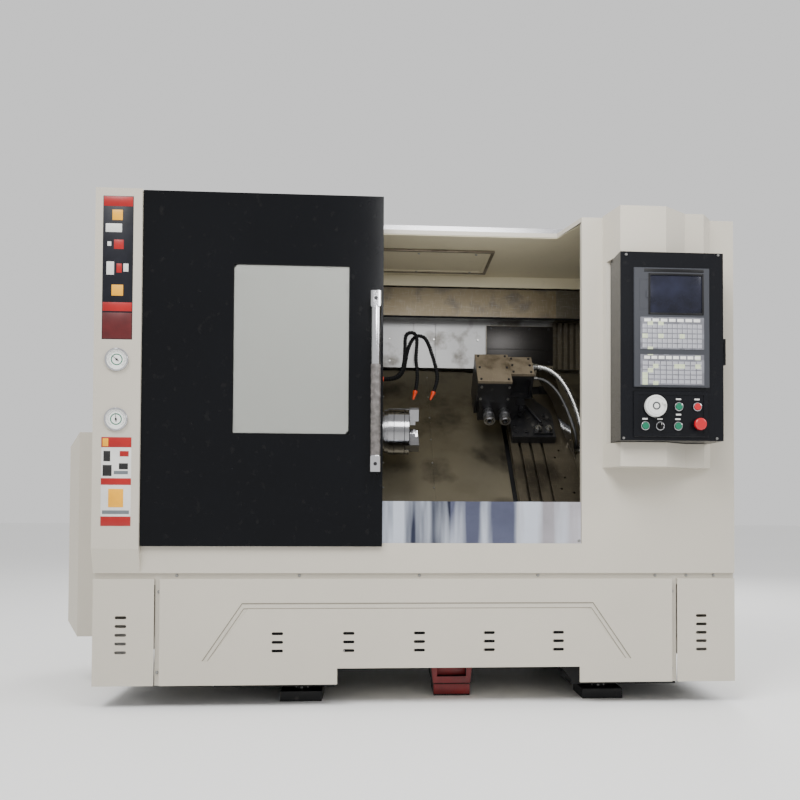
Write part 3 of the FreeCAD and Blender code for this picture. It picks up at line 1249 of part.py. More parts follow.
def tool_head():
    """Power head: black gear housing, motor housing, their caps, clamp bar and tie rod."""
    body_a = box(HEAD_A_X0, HEAD_A_X1, HEAD_A_S0, HEAD_A_S1, HEAD_A_N0, HEAD_TOP_N - CAP_THICK)
    step = box(HEAD_A_X0 - 1, HEAD_A_X0 + 12, HEAD_A_S0 - 1, HEAD_A_S0 + 44, HEAD_A_N0 - 1, TOOL_NOSE_N + 46)
    bores = []
    for x in TOOL_NOSE_X:
        bores.append(rod((x, HEAD_A_S0 - 1, TOOL_NOSE_N), (0, 1, 0), TOOL_NOSE_RADIUS - 6 + PIN_GAP, 60.0))
    body_a = body_a.cut([step] + bores)
    plate_top = TABLE_N + TOOL_PLATE_THICK
    body_b = box(HEAD_A_X1, HEAD_B_X1, HEAD_B_S0, HEAD_B_S1, HEAD_A_N0 + 60, HEAD_B_TOP_N - CAP_THICK)
    recess_n = (HEAD_A_N0 + 70, HEAD_B_TOP_N - 28)
    recess = box(HEAD_A_X1 + 8, HEAD_B_X1 - 10, HEAD_B_S0 - 1, HEAD_B_S0 + 26, *recess_n)
    foot = box(HEAD_A_X1, TABLE_X0 + 62, HEAD_A_S0 + 20, HEAD_B_S1, plate_top, HEAD_A_N0 + 60)
    rib = box(HEAD_A_X1, TABLE_X0 + 22, HEAD_A_S0, HEAD_A_S0 + 20, plate_top, HEAD_TOP_N - 70)
    body = body_a.fuse([body_b.cut(recess), foot, rib])
    stack = []
    for i in range(2):
        n = plate_top + 18 + 22 * i
        stack.append(rod((TABLE_X0 + 46, HEAD_A_S0 + 4, n), (0, 1, 0), 9.0, 16.0))
    cap_a = box(HEAD_A_X0, HEAD_A_X1, HEAD_A_S0, HEAD_A_S1, HEAD_TOP_N - CAP_THICK, HEAD_TOP_N)
    cap_b = box(HEAD_A_X1 + FLAT_GAP, HEAD_B_X1, HEAD_B_S0, HEAD_B_S1, HEAD_B_TOP_N - CAP_THICK, HEAD_B_TOP_N)
    clamp = box(TABLE_X0 + 88, TABLE_X0 + 160, 34.0, 70.0, plate_top, plate_top + 10)
    bolts = [rod((TABLE_X0 + x, 52.0, plate_top + 10), (0, 0, 1), 8.0, 12.0) for x in (104.0, 143.0)]
    tie_start = V(TABLE_X0 + 78, 194.0, plate_top + 10)
    tie_end = V(TABLE_X0 + 122, 98.0, plate_top + 10)
    tie_vector = tie_end.sub(tie_start)
    tie = rod(tie_start, tie_vector, 4.5, tie_vector.Length)
    feet = [box(p.x - 8, p.x + 8, p.y - 8, p.y + 8, plate_top, plate_top + 6) for p in (tie_start, tie_end)]
    glands = []
    for route, radius in ((CONDUIT_ROUTE, CONDUIT_RADIUS), (HOSE_ROUTE, HOSE_RADIUS)):
        x, s, n = route[0]
        glands.append(rod((HEAD_B_X1, s, n), (1, 0, 0), radius + 4, CONDUIT_X + x - HEAD_B_X1))
    body = body.fuse(stack + glands)
    parts = [body, cap_a, cap_b, clamp.fuse(bolts), tie.fuse(feet)]
    return group([on_slope(p) for p in parts])


def tool_nose(x):
    """Collet nose of a driven tool: shank, hexagonal collar and threaded nut."""
    start = V(x, HEAD_A_S0, TOOL_NOSE_N)
    shank = rod(start + V(0, -6, 0), V(0, 1, 0), TOOL_NOSE_RADIUS - 6, 60.0)
    collar = rod(start + V(0, -22, 0), V(0, 1, 0), TOOL_NOSE_RADIUS - 3, 21.0)
    nut = rod(start + V(0, -TOOL_NOSE_LENGTH, 0), V(0, 1, 0), TOOL_NOSE_RADIUS, 34.0)
    flats = []
    for i in range(6):
        flat_n = TOOL_NOSE_N + TOOL_NOSE_RADIUS - 2
        flat = box(x - 30, x + 30, start.y - 50, start.y - 34, flat_n, TOOL_NOSE_N + 40)
        flat.rotate(start, V(0, 1, 0), 60.0 * i)
        flats.append(flat)
    neck = rod(start + V(0, -30, 0), V(0, 1, 0), TOOL_NOSE_RADIUS - 7, 12.0)
    bore = rod(start + V(0, -TOOL_NOSE_LENGTH - 1, 0), V(0, 1, 0), TOOL_BORE_RADIUS, 45.0)
    return on_slope(nut.cut(flats).fuse([neck, collar, shank]).cut(bore))


def hose_guard():
    """Folded bright sheet under the conduit, on two posts from the tool table."""
    tip = (TABLE_X1 - 26.0, 414.0)
    outline = (
        tip,
        (TABLE_X1 + 4.0, 150.0),
        (TABLE_X1, -96.0),
        (TABLE_X1 - 35.0, 40.0),
        (TABLE_X1 - 55.0, 190.0),
        (TABLE_X1 - 109.0, 310.0),
        (TABLE_X1 - 96.0, 370.0),
    )

    def level(x, s):
        """Height of the leaning sheet over a point."""
        return 140.0 - 0.5117 * (x - tip[0]) + 0.0875 * (s - tip[1])

    sheet = prism([(x, s, level(x, s)) for x, s in outline], (0, 0, COVER_THICK))
    posts = []
    for s in (10.0, 200.0):
        x = TABLE_X1 - 12.0
        posts.append(rod((x, s, TABLE_N), (0, 0, 1), 6.0, level(x, s) + COVER_THICK / 2 - TABLE_N))
    return on_slope(sheet.fuse(posts))


def head_conduits():
    """Steel conduit and braided hose from the power head to the carriage cover."""
    shapes = []
    for route, radius in ((CONDUIT_ROUTE, CONDUIT_RADIUS), (HOSE_ROUTE, HOSE_RADIUS)):
        points = [slope_point(CONDUIT_X + x, s, n) for x, s, n in route]
        shapes.append(hose(points, radius))
    return group(shapes)


# ---------------------------------------------------------------- coolant
def coolant_points(route, offset):
    """Route of one coolant hose in machine coordinates; the hoses fan apart in depth."""
    return [V(NOSE_X + x + 9.0, COOLANT_Y + offset * y, COOLANT_Z + z) for x, y, z in route]


def coolant_hoses():
    """Two jointed coolant hoses with connectors and nozzles, held on the headstock wall."""
    shapes = []
    for route, offset in ((HOSE_A_ROUTE, 0.0), (HOSE_B_ROUTE, COOLANT_FORK_Y)):
        points = coolant_points(route, offset)
        body = hose(points, COOLANT_RADIUS)
        last = points[-1]
        direction = last.sub(points[-2]).normalize()
        nozzle = Part.makeCone(COOLANT_RADIUS + 1.5, NOZZLE_TIP_RADIUS, NOZZLE_LENGTH, last, direction)
        start = points[0]
        length = start.x - BULKHEAD_X
        fitting = rod((BULKHEAD_X, start.y, start.z), (1, 0, 0), COOLANT_RADIUS - 1.0, length)
        collar = rod((start.x - 26, start.y, start.z), (1, 0, 0), COOLANT_RADIUS + 0.8, 26.0)
        shapes += [body, nozzle, fitting.fuse(collar)]
    return group(shapes)


def chip_tray():
    """Coolant and chip tray against the bed's front, with the coolant pump on its end."""
    y1 = BED_FRONT_Y
    outer = box(TRAY_X0, TRAY_X1, TRAY_Y0, y1, TRAY_Z0, TRAY_Z1)
    inner = box(TRAY_X0 + SHEET, TRAY_X1 - SHEET, TRAY_Y0 + SHEET, y1 - SHEET, TRAY_Z0 + SHEET, TRAY_Z1 + 1)
    shelf = box(TRAY_X1 - SHEET, PUMP_X + 80, TRAY_Y0 + 40, y1, TRAY_Z0 + 60, TRAY_Z0 + 66)
    pump_y = (TRAY_Y0 + 40 + y1) / 2
    pump = rod((PUMP_X, pump_y, TRAY_Z0 + 66), (0, 0, 1), PUMP_RADIUS, 150.0)
    cap = rod((PUMP_X, pump_y, TRAY_Z0 + 216), (0, 0, 1), PUMP_RADIUS - 10, 22.0)
    return group([outer.cut(inner).fuse(shelf), pump.fuse(cap)])


# ---------------------------------------------------------------- electrical cabinet
def cabinet_pin_x():
    """X of the cabinet door's hinge line."""
    return CABINET_X0 + 14.0


def electrical_cabinet():
    """Cabinet shell on the rear wall, with hinge eyes and its device plate."""
    x0 = CABINET_X0
    x1 = CABINET_X0 + CABINET_WIDTH
    z0 = CABINET_Z0
    z1 = CABINET_Z0 + CABINET_HEIGHT
    y1 = REAR_Y + CABINET_DEPTH - CABINET_DOOR - FLAT_GAP
    shell = box(x0, x1, REAR_Y, y1, z0, z1).cut(box(x0 + 2, x1 - 2, REAR_Y + 2, y1 + 1, z0 + 2, z1 - 2))
    x = x0 + CABINET_WIDTH / 2
    z = z0 + CABINET_HEIGHT / 2
    shell = shell.cut(box(x - 60, x + 60, REAR_Y - 1, REAR_Y + 4, z - 60, z + 60))
    plate = box(x0 + 60, x1 - 60, REAR_Y + 2, REAR_Y + 6, z0 + 60, z - 70)
    devices = []
    for i in range(4):
        bx = x0 + 110 + i * 180
        devices.append(box(bx, bx + 120, REAR_Y + 6, REAR_Y + 150, z0 + 110, z0 + 110 + 260))
    tabs = []
    for tab_z in (z0 - 8.0, z1):
        tab = box(x0, x0 + 28, y1 - 20, y1 + CABINET_DOOR + FLAT_GAP, tab_z, tab_z + 8)
        pin_y = y1 + FLAT_GAP + CABINET_DOOR / 2
        hole = rod((cabinet_pin_x(), pin_y, tab_z - 1), (0, 0, 1), CABINET_PIN_RADIUS + PIN_GAP, 10.0)
        tabs.append(tab.cut(hole))
    return group([shell.fuse(tabs), plate.fuse(devices)])


def cabinet_door():
    """Cabinet door with its pins and turn handle."""
    x0 = cabinet_pin_x()
    x1 = CABINET_X0 + CABINET_WIDTH
    z0 = CABINET_Z0
    z1 = CABINET_Z0 + CABINET_HEIGHT
    y0 = REAR_Y + CABINET_DEPTH - CABINET_DOOR
    y1 = REAR_Y + CABINET_DEPTH - 8.0
    slab = box(x0, x1, y0, y1, z0 + FLAT_GAP, z1 - FLAT_GAP)
    slab = slab.cut(box(x0 + 30, x1 - 3, y0 - 1, y1 - 3, z0 + 4, z1 - 4))
    pin_y = REAR_Y + CABINET_DEPTH - CABINET_DOOR / 2
    knuckle = rod((cabinet_pin_x(), pin_y, z0 + FLAT_GAP), (0, 0, 1), 7.0, CABINET_HEIGHT - 2 * FLAT_GAP)
    pin = rod((cabinet_pin_x(), pin_y, z0 - 8), (0, 0, 1), CABINET_PIN_RADIUS, CABINET_HEIGHT + 16)
    handle = box(x1 - 60, x1 - 36, y1, REAR_Y + CABINET_DEPTH, z0 + 430, z0 + 560)
    return slab.fuse([knuckle, pin, handle])


# ---------------------------------------------------------------- door
def door_panel():
    """Black sliding door: folded front, glazing rebate, roof return and rollers."""
    window_x0 = DOOR_LEFT + WINDOW_MARGIN_LEFT
    outer = box(DOOR_LEFT, DOOR_RIGHT, DOOR_FRONT_Y, DOOR_BACK_Y, DOOR_BOTTOM_Z, DOOR_TOP_Z)
    inner = box(
        DOOR_LEFT + SHEET,
        DOOR_RIGHT - SHEET,
        DOOR_FRONT_Y + SHEET,
        DOOR_BACK_Y + 1,
        DOOR_BOTTOM_Z + SHEET,
        DOOR_TOP_Z - SHEET,
    )
    front = DOOR_FRONT_Y
    frame = box(
        window_x0 - WINDOW_LAP - 6,
        window_x0 + WINDOW_WIDTH + WINDOW_LAP + 6,
        front + SHEET,
        front + SHEET + WINDOW_GLASS,
        WINDOW_SILL_Z - WINDOW_LAP - 6,
        WINDOW_SILL_Z + WINDOW_HEIGHT + WINDOW_LAP + 6,
    )
    glazing = box(
        window_x0 - WINDOW_LAP,
        window_x0 + WINDOW_WIDTH + WINDOW_LAP,
        front + SHEET,
        front + 40,
        WINDOW_SILL_Z - WINDOW_LAP,
        WINDOW_SILL_Z + WINDOW_HEIGHT + WINDOW_LAP,
    )
    sight = box(
        window_x0,
        window_x0 + WINDOW_WIDTH,
        front - 1,
        front + 40,
        WINDOW_SILL_Z,
        WINDOW_SILL_Z + WINDOW_HEIGHT,
    )
    panel = outer.cut(inner).fuse(frame).cut([glazing, sight])
    back_y = TRACK_Y + 16.0
    top = box(DOOR_LEFT, DOOR_RIGHT, DOOR_FRONT_Y, back_y, DOOR_TOP_Z - SHEET, DOOR_TOP_Z)
    skirt = box(DOOR_LEFT, DOOR_RIGHT, back_y - SHEET, back_y, DOOR_TOP_Z - 16, DOOR_TOP_Z)
    rollers = []
    top_of_rail = ROOF_Z + TRACK_HEIGHT
    axle_z = top_of_rail + SOFT_GAP + ROLLER_RADIUS
    for x in (DOOR_LEFT + 60.0, DOOR_RIGHT - 60.0):
        wheel = rod((x, TRACK_Y - 5, axle_z), (0, 1, 0), ROLLER_RADIUS, 10.0)
        hanger = box(x - 6, x + 6, TRACK_Y - 5, TRACK_Y + 5, axle_z, DOOR_TOP_Z - SHEET)
        rollers.append(wheel.fuse(hanger))
    return panel.fuse([top, skirt] + rollers)


def door_window():
    """Glass pane seated in the door's rebate."""
    x0 = DOOR_LEFT + WINDOW_MARGIN_LEFT
    gap = SOFT_GAP
    y0 = DOOR_FRONT_Y + SHEET
    return box(
        x0 - WINDOW_LAP + gap,
        x0 + WINDOW_WIDTH + WINDOW_LAP - gap,
        y0,
        y0 + WINDOW_GLASS,
        WINDOW_SILL_Z - WINDOW_LAP + gap,
        WINDOW_SILL_Z + WINDOW_HEIGHT + WINDOW_LAP - gap,
    )


def door_handle():
    """Chromed tube handle between two blocks."""
    x = DOOR_RIGHT - HANDLE_INSET
    y = DOOR_FRONT_Y - HANDLE_STANDOFF
    tube_length = HANDLE_Z1 - HANDLE_Z0 - 16
    tube = ring(V(x, y, HANDLE_Z0 + 8), V(0, 0, 1), HANDLE_RADIUS, HANDLE_RADIUS - 2.5, tube_length)
    blocks = []
    half = HANDLE_BLOCK_W / 2
    for z in (HANDLE_Z0, HANDLE_Z1 - HANDLE_BLOCK_H):
        block = box(x - half, x + half, y - half, DOOR_FRONT_Y, z, z + HANDLE_BLOCK_H)
        upright = [e for e in block.Edges if abs(e.BoundBox.ZLength - HANDLE_BLOCK_H) < 0.01]
        edges = [e for e in upright if e.BoundBox.YMax < y]
        blocks.append(block.makeFillet(9.0, edges))
    return tube.fuse(blocks)


# ---------------------------------------------------------------- console
def pillar_outline(inset):
    """Plan of the pillar, pulled in by a wall thickness."""
    points = []
    centre = BODY_RIGHT - 280.0
    for x, y in PILLAR_PLAN:
        px = BODY_RIGHT + x
        shift = inset if px < centre else -inset
        points.append((px + shift * (1.25 if y == 0.0 else 1.0), APRON_Y + y + (inset if y < 0 else 0.0)))
    return points


def pivot_centre():
    """Plan position of the panel box's pivot."""
    return PANEL_X0 + PIVOT_INSET, PANEL_Y + PANEL_DEPTH - PIVOT_INSET


def console_pillar():
    """Faceted sheet pillar, cut away where the panel box hangs on its two pivots."""
    outer = prism_z(pillar_outline(0.0), PILLAR_Z0, PILLAR_Z1)
    inner = prism_z(pillar_outline(SHEET), PILLAR_Z0 + SHEET, PILLAR_Z1 - SHEET)
    z0 = PANEL_Z0 - PANEL_END_GAP
    z1 = PANEL_Z1 + PANEL_END_GAP
    back = PANEL_Y + PANEL_DEPTH + PANEL_BACK_GAP
    shell = outer.cut(inner)
    floors = outer.common(
        box(BODY_RIGHT - 600, BODY_RIGHT, PANEL_Y - 200, APRON_Y, z1, z1 + 4).fuse(
            box(BODY_RIGHT - 600, BODY_RIGHT, PANEL_Y - 200, APRON_Y, z0 - 4, z0)
        )
    )
    rear = outer.common(box(BODY_RIGHT - 600, BODY_RIGHT, back, back + SHEET, z0 - 4, z1 + 4))
    shell = shell.fuse([floors, rear])
    shell = shell.cut(box(BODY_RIGHT - 600, BODY_RIGHT, PANEL_Y - 200, back, z0, z1))
    x, y = pivot_centre()
    hole = rod((x, y, z0 - 30), (0, 0, 1), PIVOT_RADIUS + PIN_GAP, z1 - z0 + 60)
    return shell.cut(hole)


def panel_box():
    """Black panel box with cut-outs for the control unit and the button plate, and its pivots."""
    y1 = PANEL_Y + PANEL_DEPTH
    wall = PANEL_WALL
    outer = box(PANEL_X0, PANEL_X1, PANEL_Y, y1, PANEL_Z0, PANEL_Z1)
    inner = box(PANEL_X0 + wall, PANEL_X1 - wall, PANEL_Y + wall, y1 - wall, PANEL_Z0 + wall, PANEL_Z1 - wall)
    unit_cut = box(
        PANEL_X0 + UNIT_X + UNIT_FRAME - FLAT_GAP,
        PANEL_X0 + UNIT_X + UNIT_WIDTH - UNIT_FRAME + FLAT_GAP,
        PANEL_Y - 1,
        PANEL_Y + 10,
        UNIT_Z0 + UNIT_FRAME - FLAT_GAP,
        UNIT_Z0 + UNIT_HEIGHT - UNIT_FRAME + FLAT_GAP,
    )
    plate_cut = box(
        PANEL_X0 + BUTTON_PLATE_X + 14,
        PANEL_X0 + BUTTON_PLATE_X + BUTTON_PLATE_WIDTH - 14,
        PANEL_Y - 1,
        PANEL_Y + 10,
        BUTTON_PLATE_Z0 + 8,
        BUTTON_PLATE_Z0 + BUTTON_PLATE_HEIGHT - 8,
    )
    x, y = pivot_centre()
    pin_length = PIVOT_LENGTH + PANEL_END_GAP
    pins = [
        rod((x, y, PANEL_Z1 - 6), (0, 0, 1), PIVOT_RADIUS, pin_length + 6),
        rod((x, y, PANEL_Z0 - pin_length), (0, 0, 1), PIVOT_RADIUS, pin_length + 6),
    ]
    grip = box(PANEL_X1, PANEL_X1 + 14, PANEL_Y + 14, PANEL_Y + 30, 1138.0, 1224.0)
    grip = grip.cut(box(PANEL_X1 - 1, PANEL_X1 + 8, PANEL_Y + 10, PANEL_Y + 40, 1150.0, 1212.0))
    return outer.cut(inner).cut([unit_cut, plate_cut]).fuse(pins + [grip])


def control_unit():
    """Grey control unit: bezel, body behind the panel, screen rebate and port recess."""
    x0 = PANEL_X0 + UNIT_X
    y0 = PANEL_Y - UNIT_PROUD
    z1 = UNIT_Z0 + UNIT_HEIGHT
    bezel = box(x0, x0 + UNIT_WIDTH, y0, PANEL_Y, UNIT_Z0, z1)
    edges = [e for e in bezel.Edges if e.BoundBox.YMax < y0 + 0.01]
    bezel = bezel.makeChamfer(1.5, edges)
    body = box(
        x0 + UNIT_FRAME,
        x0 + UNIT_WIDTH - UNIT_FRAME,
        PANEL_Y,
        PANEL_Y + UNIT_BODY_DEPTH,
        UNIT_Z0 + UNIT_FRAME,
        z1 - UNIT_FRAME,
    )
    screen = box(
        PANEL_X0 + SCREEN_X,
        PANEL_X0 + SCREEN_X + SCREEN_WIDTH,
        y0 - 1,
        y0 + SCREEN_SINK + 2,
        SCREEN_Z0,
        SCREEN_Z0 + SCREEN_HEIGHT,
    )
    px = PANEL_X0 + PORT_X
    port = box(px, px + PORT_WIDTH, y0 - 1, y0 + 3, PORT_Z0, PORT_Z0 + PORT_HEIGHT)
    socket = box(px + 7, px + PORT_WIDTH - 7, y0, y0 + 24, PORT_Z0 + 30, PORT_Z0 + PORT_HEIGHT - 30)
    return bezel.fuse(body).cut([screen, port, socket])


def screen_and_keypads():
    """Screen glass in its rebate and the two membrane keypads."""
    y0 = PANEL_Y - UNIT_PROUD
    glass = box(
        PANEL_X0 + SCREEN_X,
        PANEL_X0 + SCREEN_X + SCREEN_WIDTH,
        y0 + SCREEN_SINK,
        y0 + SCREEN_SINK + 2,
        SCREEN_Z0,
        SCREEN_Z0 + SCREEN_HEIGHT,
    )
    x0 = PANEL_X0 + KEYPAD_X
    pads = []
    for z0, height in zip(KEYPAD_Z0, KEYPAD_HEIGHT):
        pads.append(box(x0, x0 + KEYPAD_WIDTH, y0 - KEYPAD_PROUD, y0, z0, z0 + height))
    return group([glass] + pads)


def port_pin():
    """Hinge line of the port flap: X and Y."""
    return PANEL_X0 + PORT_X + 2.0, PANEL_Y - UNIT_PROUD + 1.0


def port_flap():
    """Hinged flap over the data port, with its finger tab."""
    x0 = PANEL_X0 + PORT_X
    y0 = PANEL_Y - UNIT_PROUD
    gap = 0.4
    leaf = box(x0 + gap, x0 + PORT_WIDTH - gap, y0, y0 + 2, PORT_Z0 + gap, PORT_Z0 + PORT_HEIGHT - gap)
    tab = box(x0 + PORT_WIDTH - 6, x0 + PORT_WIDTH - gap, y0 - 2.5, y0, PORT_Z0 + 38, PORT_Z0 + 60)
    return leaf.fuse(tab)


def button_places():
    """Named push buttons as (x, z)."""
    return {
        "green_button_1": (PANEL_X0 + GREEN_1_X, UPPER_BUTTON_Z),
        "red_button": (PANEL_X0 + RED_X, UPPER_BUTTON_Z),
        "green_button_2": (PANEL_X0 + GREEN_2_X, LOWER_BUTTON_Z),
        "green_button_3": (PANEL_X0 + GREEN_3_X, LOWER_BUTTON_Z),
    }


def button_field_y():
    """Front face of the button plate's sunk field."""
    return PANEL_Y - BUTTON_PLATE_PROUD + BUTTON_FIELD_SINK


def button_plate():
    """Button plate with its sunk field, bezels and the dial ring of the handwheel."""
    x0 = PANEL_X0 + BUTTON_PLATE_X
    x1 = x0 + BUTTON_PLATE_WIDTH
    z1 = BUTTON_PLATE_Z0 + BUTTON_PLATE_HEIGHT
    y0 = PANEL_Y - BUTTON_PLATE_PROUD
    field_y = button_field_y()
    plate = box(x0, x1, y0, PANEL_Y, BUTTON_PLATE_Z0, z1)
    edges = [e for e in plate.Edges if e.BoundBox.YMax < y0 + 0.01]
    plate = plate.makeChamfer(1.5, edges)
    mx = BUTTON_FIELD_MARGIN_X
    mz = BUTTON_FIELD_MARGIN_Z
    plate = plate.cut(box(x0 + mx, x1 - mx, y0 - 1, field_y, BUTTON_PLATE_Z0 + mz, z1 - mz))
    bezels = []
    holes = []
    places = list(button_places().values()) + [(PANEL_X0 + SELECTOR_X, LOWER_BUTTON_Z)]
    for x, z in places:
        bezels.append(rod((x, field_y - BEZEL_HEIGHT, z), (0, 1, 0), BEZEL_RADIUS, BEZEL_HEIGHT))
        holes.append(rod((x, field_y - 10, z), (0, 1, 0), BUTTON_RADIUS + BUTTON_GAP, 30.0))
    estop = (PANEL_X0 + ESTOP_X, ESTOP_Z)
    bezels.append(rod((estop[0], field_y - BEZEL_HEIGHT, estop[1]), (0, 1, 0), BEZEL_RADIUS, BEZEL_HEIGHT))
    holes.append(rod((estop[0], field_y - 10, estop[1]), (0, 1, 0), ESTOP_STEM_RADIUS + BUTTON_GAP, 30.0))
    wheel_x = PANEL_X0 + WHEEL_X
    bezels.append(rod((wheel_x, field_y - 3, UPPER_BUTTON_Z), (0, 1, 0), WHEEL_DIAL_RADIUS, 3.0))
    holes.append(rod((wheel_x, field_y - 10, UPPER_BUTTON_Z), (0, 1, 0), WHEEL_SHAFT_RADIUS + PIN_GAP, 30.0))
    return plate.fuse(bezels).cut(holes)


def push_button(x, z):
    """Round push button with its stem."""
    front = button_field_y() - BEZEL_HEIGHT - BUTTON_PROUD
    cap = rod((x, front, z), (0, 1, 0), BUTTON_RADIUS, BUTTON_PROUD + BEZEL_HEIGHT + 6)
    edges = [e for e in cap.Edges if e.BoundBox.YMax < front + 0.01]
    return cap.makeFillet(1.2, edges)


def selector_knob():
    """Black selector with a raised grip bar."""
    x = PANEL_X0 + SELECTOR_X
    z = LOWER_BUTTON_Z
    field_y = button_field_y()
    front = field_y - BEZEL_HEIGHT - 3.0
    disc = rod((x, front, z), (0, 1, 0), BUTTON_RADIUS, BEZEL_HEIGHT + 9.0)
    bar = box(x - 3.2, x + 3.2, front - 11.0, front, z - 10.0, z + 10.0)
    edges = [e for e in bar.Edges if abs(e.BoundBox.YLength - 11.0) < 0.01]
    return disc.fuse(bar.makeFillet(2.0, edges))


def emergency_stop():
    """Mushroom button on its stem."""
    x = PANEL_X0 + ESTOP_X
    field_y = button_field_y()
    front = field_y - BEZEL_HEIGHT - 25.0
    head = rod((x, front, ESTOP_Z), (0, 1, 0), ESTOP_RADIUS, 13.0)
    edges = [e for e in head.Edges if e.BoundBox.YMax < front + 0.01]
    head = head.makeFillet(5.0, edges)
    stem = rod((x, front + 13.0, ESTOP_Z), (0, 1, 0), ESTOP_STEM_RADIUS, 25.0)
    return head.fuse(stem)


def handwheel():
    """Handwheel disc with its crank knob, on a shaft through the plate."""
    x = PANEL_X0 + WHEEL_X
    z = UPPER_BUTTON_Z
    back = button_field_y() - 4.5
    disc = rod((x, back - 17.0, z), (0, 1, 0), WHEEL_RADIUS, 17.0)
    front = back - 17.0
    edges = [e for e in disc.Edges if e.BoundBox.YMax < front + 0.01]
    disc = disc.makeFillet(3.0, edges)
    shaft = rod((x, back, z), (0, 1, 0), WHEEL_SHAFT_RADIUS, 24.0)
    knob = rod((x + 22.0, front - 10.0, z + 10.0), (0, 1, 0), 5.5, 11.0)
    return disc.fuse([shaft, knob])


NODES = {
    "bed_casting": bed_casting,
    "levelling_mounts": levelling_mounts,
    "front_skirt": front_skirt,
    "corner_skirts": corner_skirts,
    "side_walls": side_walls,
    "rear_wall": rear_wall,
    "front_frame": front_frame,
    "gauge_column": gauge_column,
    "pressure_gauges": pressure_gauges,
    "roof_cover": roof_cover,
    "ceiling_panels": ceiling_panels,
    "door_track": door_track,
    "inner_lining": inner_lining,
    "front_splash_plate": front_splash_plate,
    "fixed_way_covers": fixed_way_covers,
    "headstock": headstock,
    "console_pillar": console_pillar,
    "side_cover": side_cover,
    "spindle_motor": spindle_motor,
    "drive_belt": drive_belt,
    "z_drive": z_drive,
    "coolant_hoses": coolant_hoses,
    "chip_tray": chip_tray,
    "electrical_cabinet": electrical_cabinet,
    "cabinet_door": cabinet_door,
    "spindle_shaft": spindle_shaft,
    "spindle_rear_parts": spindle_rear_parts,
    "chuck_body": chuck_body,
    "motor_pulley": motor_pulley,
    "z_screw": z_screw,
    "saddle": saddle,
    "carriage_cover": carriage_cover,
    "x_servo": x_servo,
    "x_screw": x_screw,
    "way_cover_left": way_cover_left,
    "way_cover_right": way_cover_right,
    "tool_table": tool_table,
    "tool_head": tool_head,
    "hose_guard": hose_guard,
    "head_conduits": head_conduits,
    "door_panel": door_panel,
    "door_window": door_window,
    "door_handle": door_handle,
    "panel_box": panel_box,
    "control_unit": control_unit,
    "screen_and_keypads": screen_and_keypads,
    "port_flap": port_flap,
    "button_plate": button_plate,
    "selector_knob": selector_knob,
    "emergency_stop": emergency_stop,
    "handwheel": handwheel,
}


def main():
    """Write every node to its own STEP file."""
    os.makedirs("parts", exist_ok=True)
    shapes = {name: make() for name, make in NODES.items()}
    for number, angle in enumerate(JAW_ANGLES_DEG, start=1):
        shapes["jaw_%d" % number] = chuck_jaw(angle)
    for number, x in enumerate(TOOL_NOSE_X, start=1):
        shapes["tool_nose_%d" % number] = tool_nose(x)
    for name, (x, z) in button_places().items():
        shapes[name] = push_button(x, z)
    for name, shape in shapes.items():
        shape.exportStep("parts/%s.step" % name)
        bounds = shape.BoundBox
        print("%-20s %2d solids  x %.0f..%.0f  y %.0f..%.0f  z %.0f..%.0f%s" % (
            name, len(shape.Solids), bounds.XMin, bounds.XMax, bounds.YMin, bounds.YMax,
            bounds.ZMin, bounds.ZMax, "" if shape.isValid() else "  INVALID"))


main()
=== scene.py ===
"""Looks of a slant-bed turning lathe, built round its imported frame.

Metres, +Z up, X along the spindle, -Y towards the operator.
"""
import logging
import math
from dataclasses import dataclass, field
from enum import Enum

import bmesh
import bpy
from mathutils import Euler, Matrix, Vector


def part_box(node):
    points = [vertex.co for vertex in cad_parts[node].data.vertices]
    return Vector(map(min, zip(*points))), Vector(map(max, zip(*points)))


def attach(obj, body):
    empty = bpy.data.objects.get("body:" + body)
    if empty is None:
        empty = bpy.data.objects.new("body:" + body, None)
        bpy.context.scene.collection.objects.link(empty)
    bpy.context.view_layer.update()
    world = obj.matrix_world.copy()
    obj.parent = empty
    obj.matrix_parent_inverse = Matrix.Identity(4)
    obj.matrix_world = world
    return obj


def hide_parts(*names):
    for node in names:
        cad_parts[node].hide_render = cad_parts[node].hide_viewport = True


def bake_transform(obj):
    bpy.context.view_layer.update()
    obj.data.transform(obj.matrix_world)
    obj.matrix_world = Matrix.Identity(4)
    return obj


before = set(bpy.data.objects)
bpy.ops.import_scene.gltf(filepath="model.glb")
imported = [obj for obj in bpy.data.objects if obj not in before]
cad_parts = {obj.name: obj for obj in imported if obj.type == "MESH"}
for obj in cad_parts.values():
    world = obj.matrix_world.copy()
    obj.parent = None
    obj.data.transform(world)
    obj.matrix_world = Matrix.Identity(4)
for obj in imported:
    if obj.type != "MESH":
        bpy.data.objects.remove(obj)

LOG = logging.getLogger("lathe")
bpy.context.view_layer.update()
Point = tuple[float, float, float]
Colour = tuple[float, float, float]

SLOPE_Y = -0.202
SLOPE_Z = 0.849
ROOT_HALF = math.sqrt(0.5)
AXIS_N = 0.138
NOSE_X = -0.009
BULKHEAD_X = -0.148
TABLE_X = 0.469
TABLE_N = 0.070
APRON_Y = -0.560
STRIP_Y = -0.550
GAUGE_FACE_Y = -0.583
DOOR_Y = -0.574
PANEL_Y = -0.713
UNIT_Y = -0.721
BUTTON_Y = -0.717
SEED = 7


class Facing(Enum):
    """Way that a small fitting looks."""

    FRONT = (0.0, -1.0, 0.0)
    BACK = (0.0, 1.0, 0.0)
    LEFT = (-1.0, 0.0, 0.0)
    RIGHT = (1.0, 0.0, 0.0)
    UP = (0.0, 0.0, 1.0)
    DOWN = (0.0, 0.0, -1.0)
    SLOPE = (0.0, -ROOT_HALF, ROOT_HALF)
    DOWN_SLOPE = (0.0, -ROOT_HALF, -ROOT_HALF)


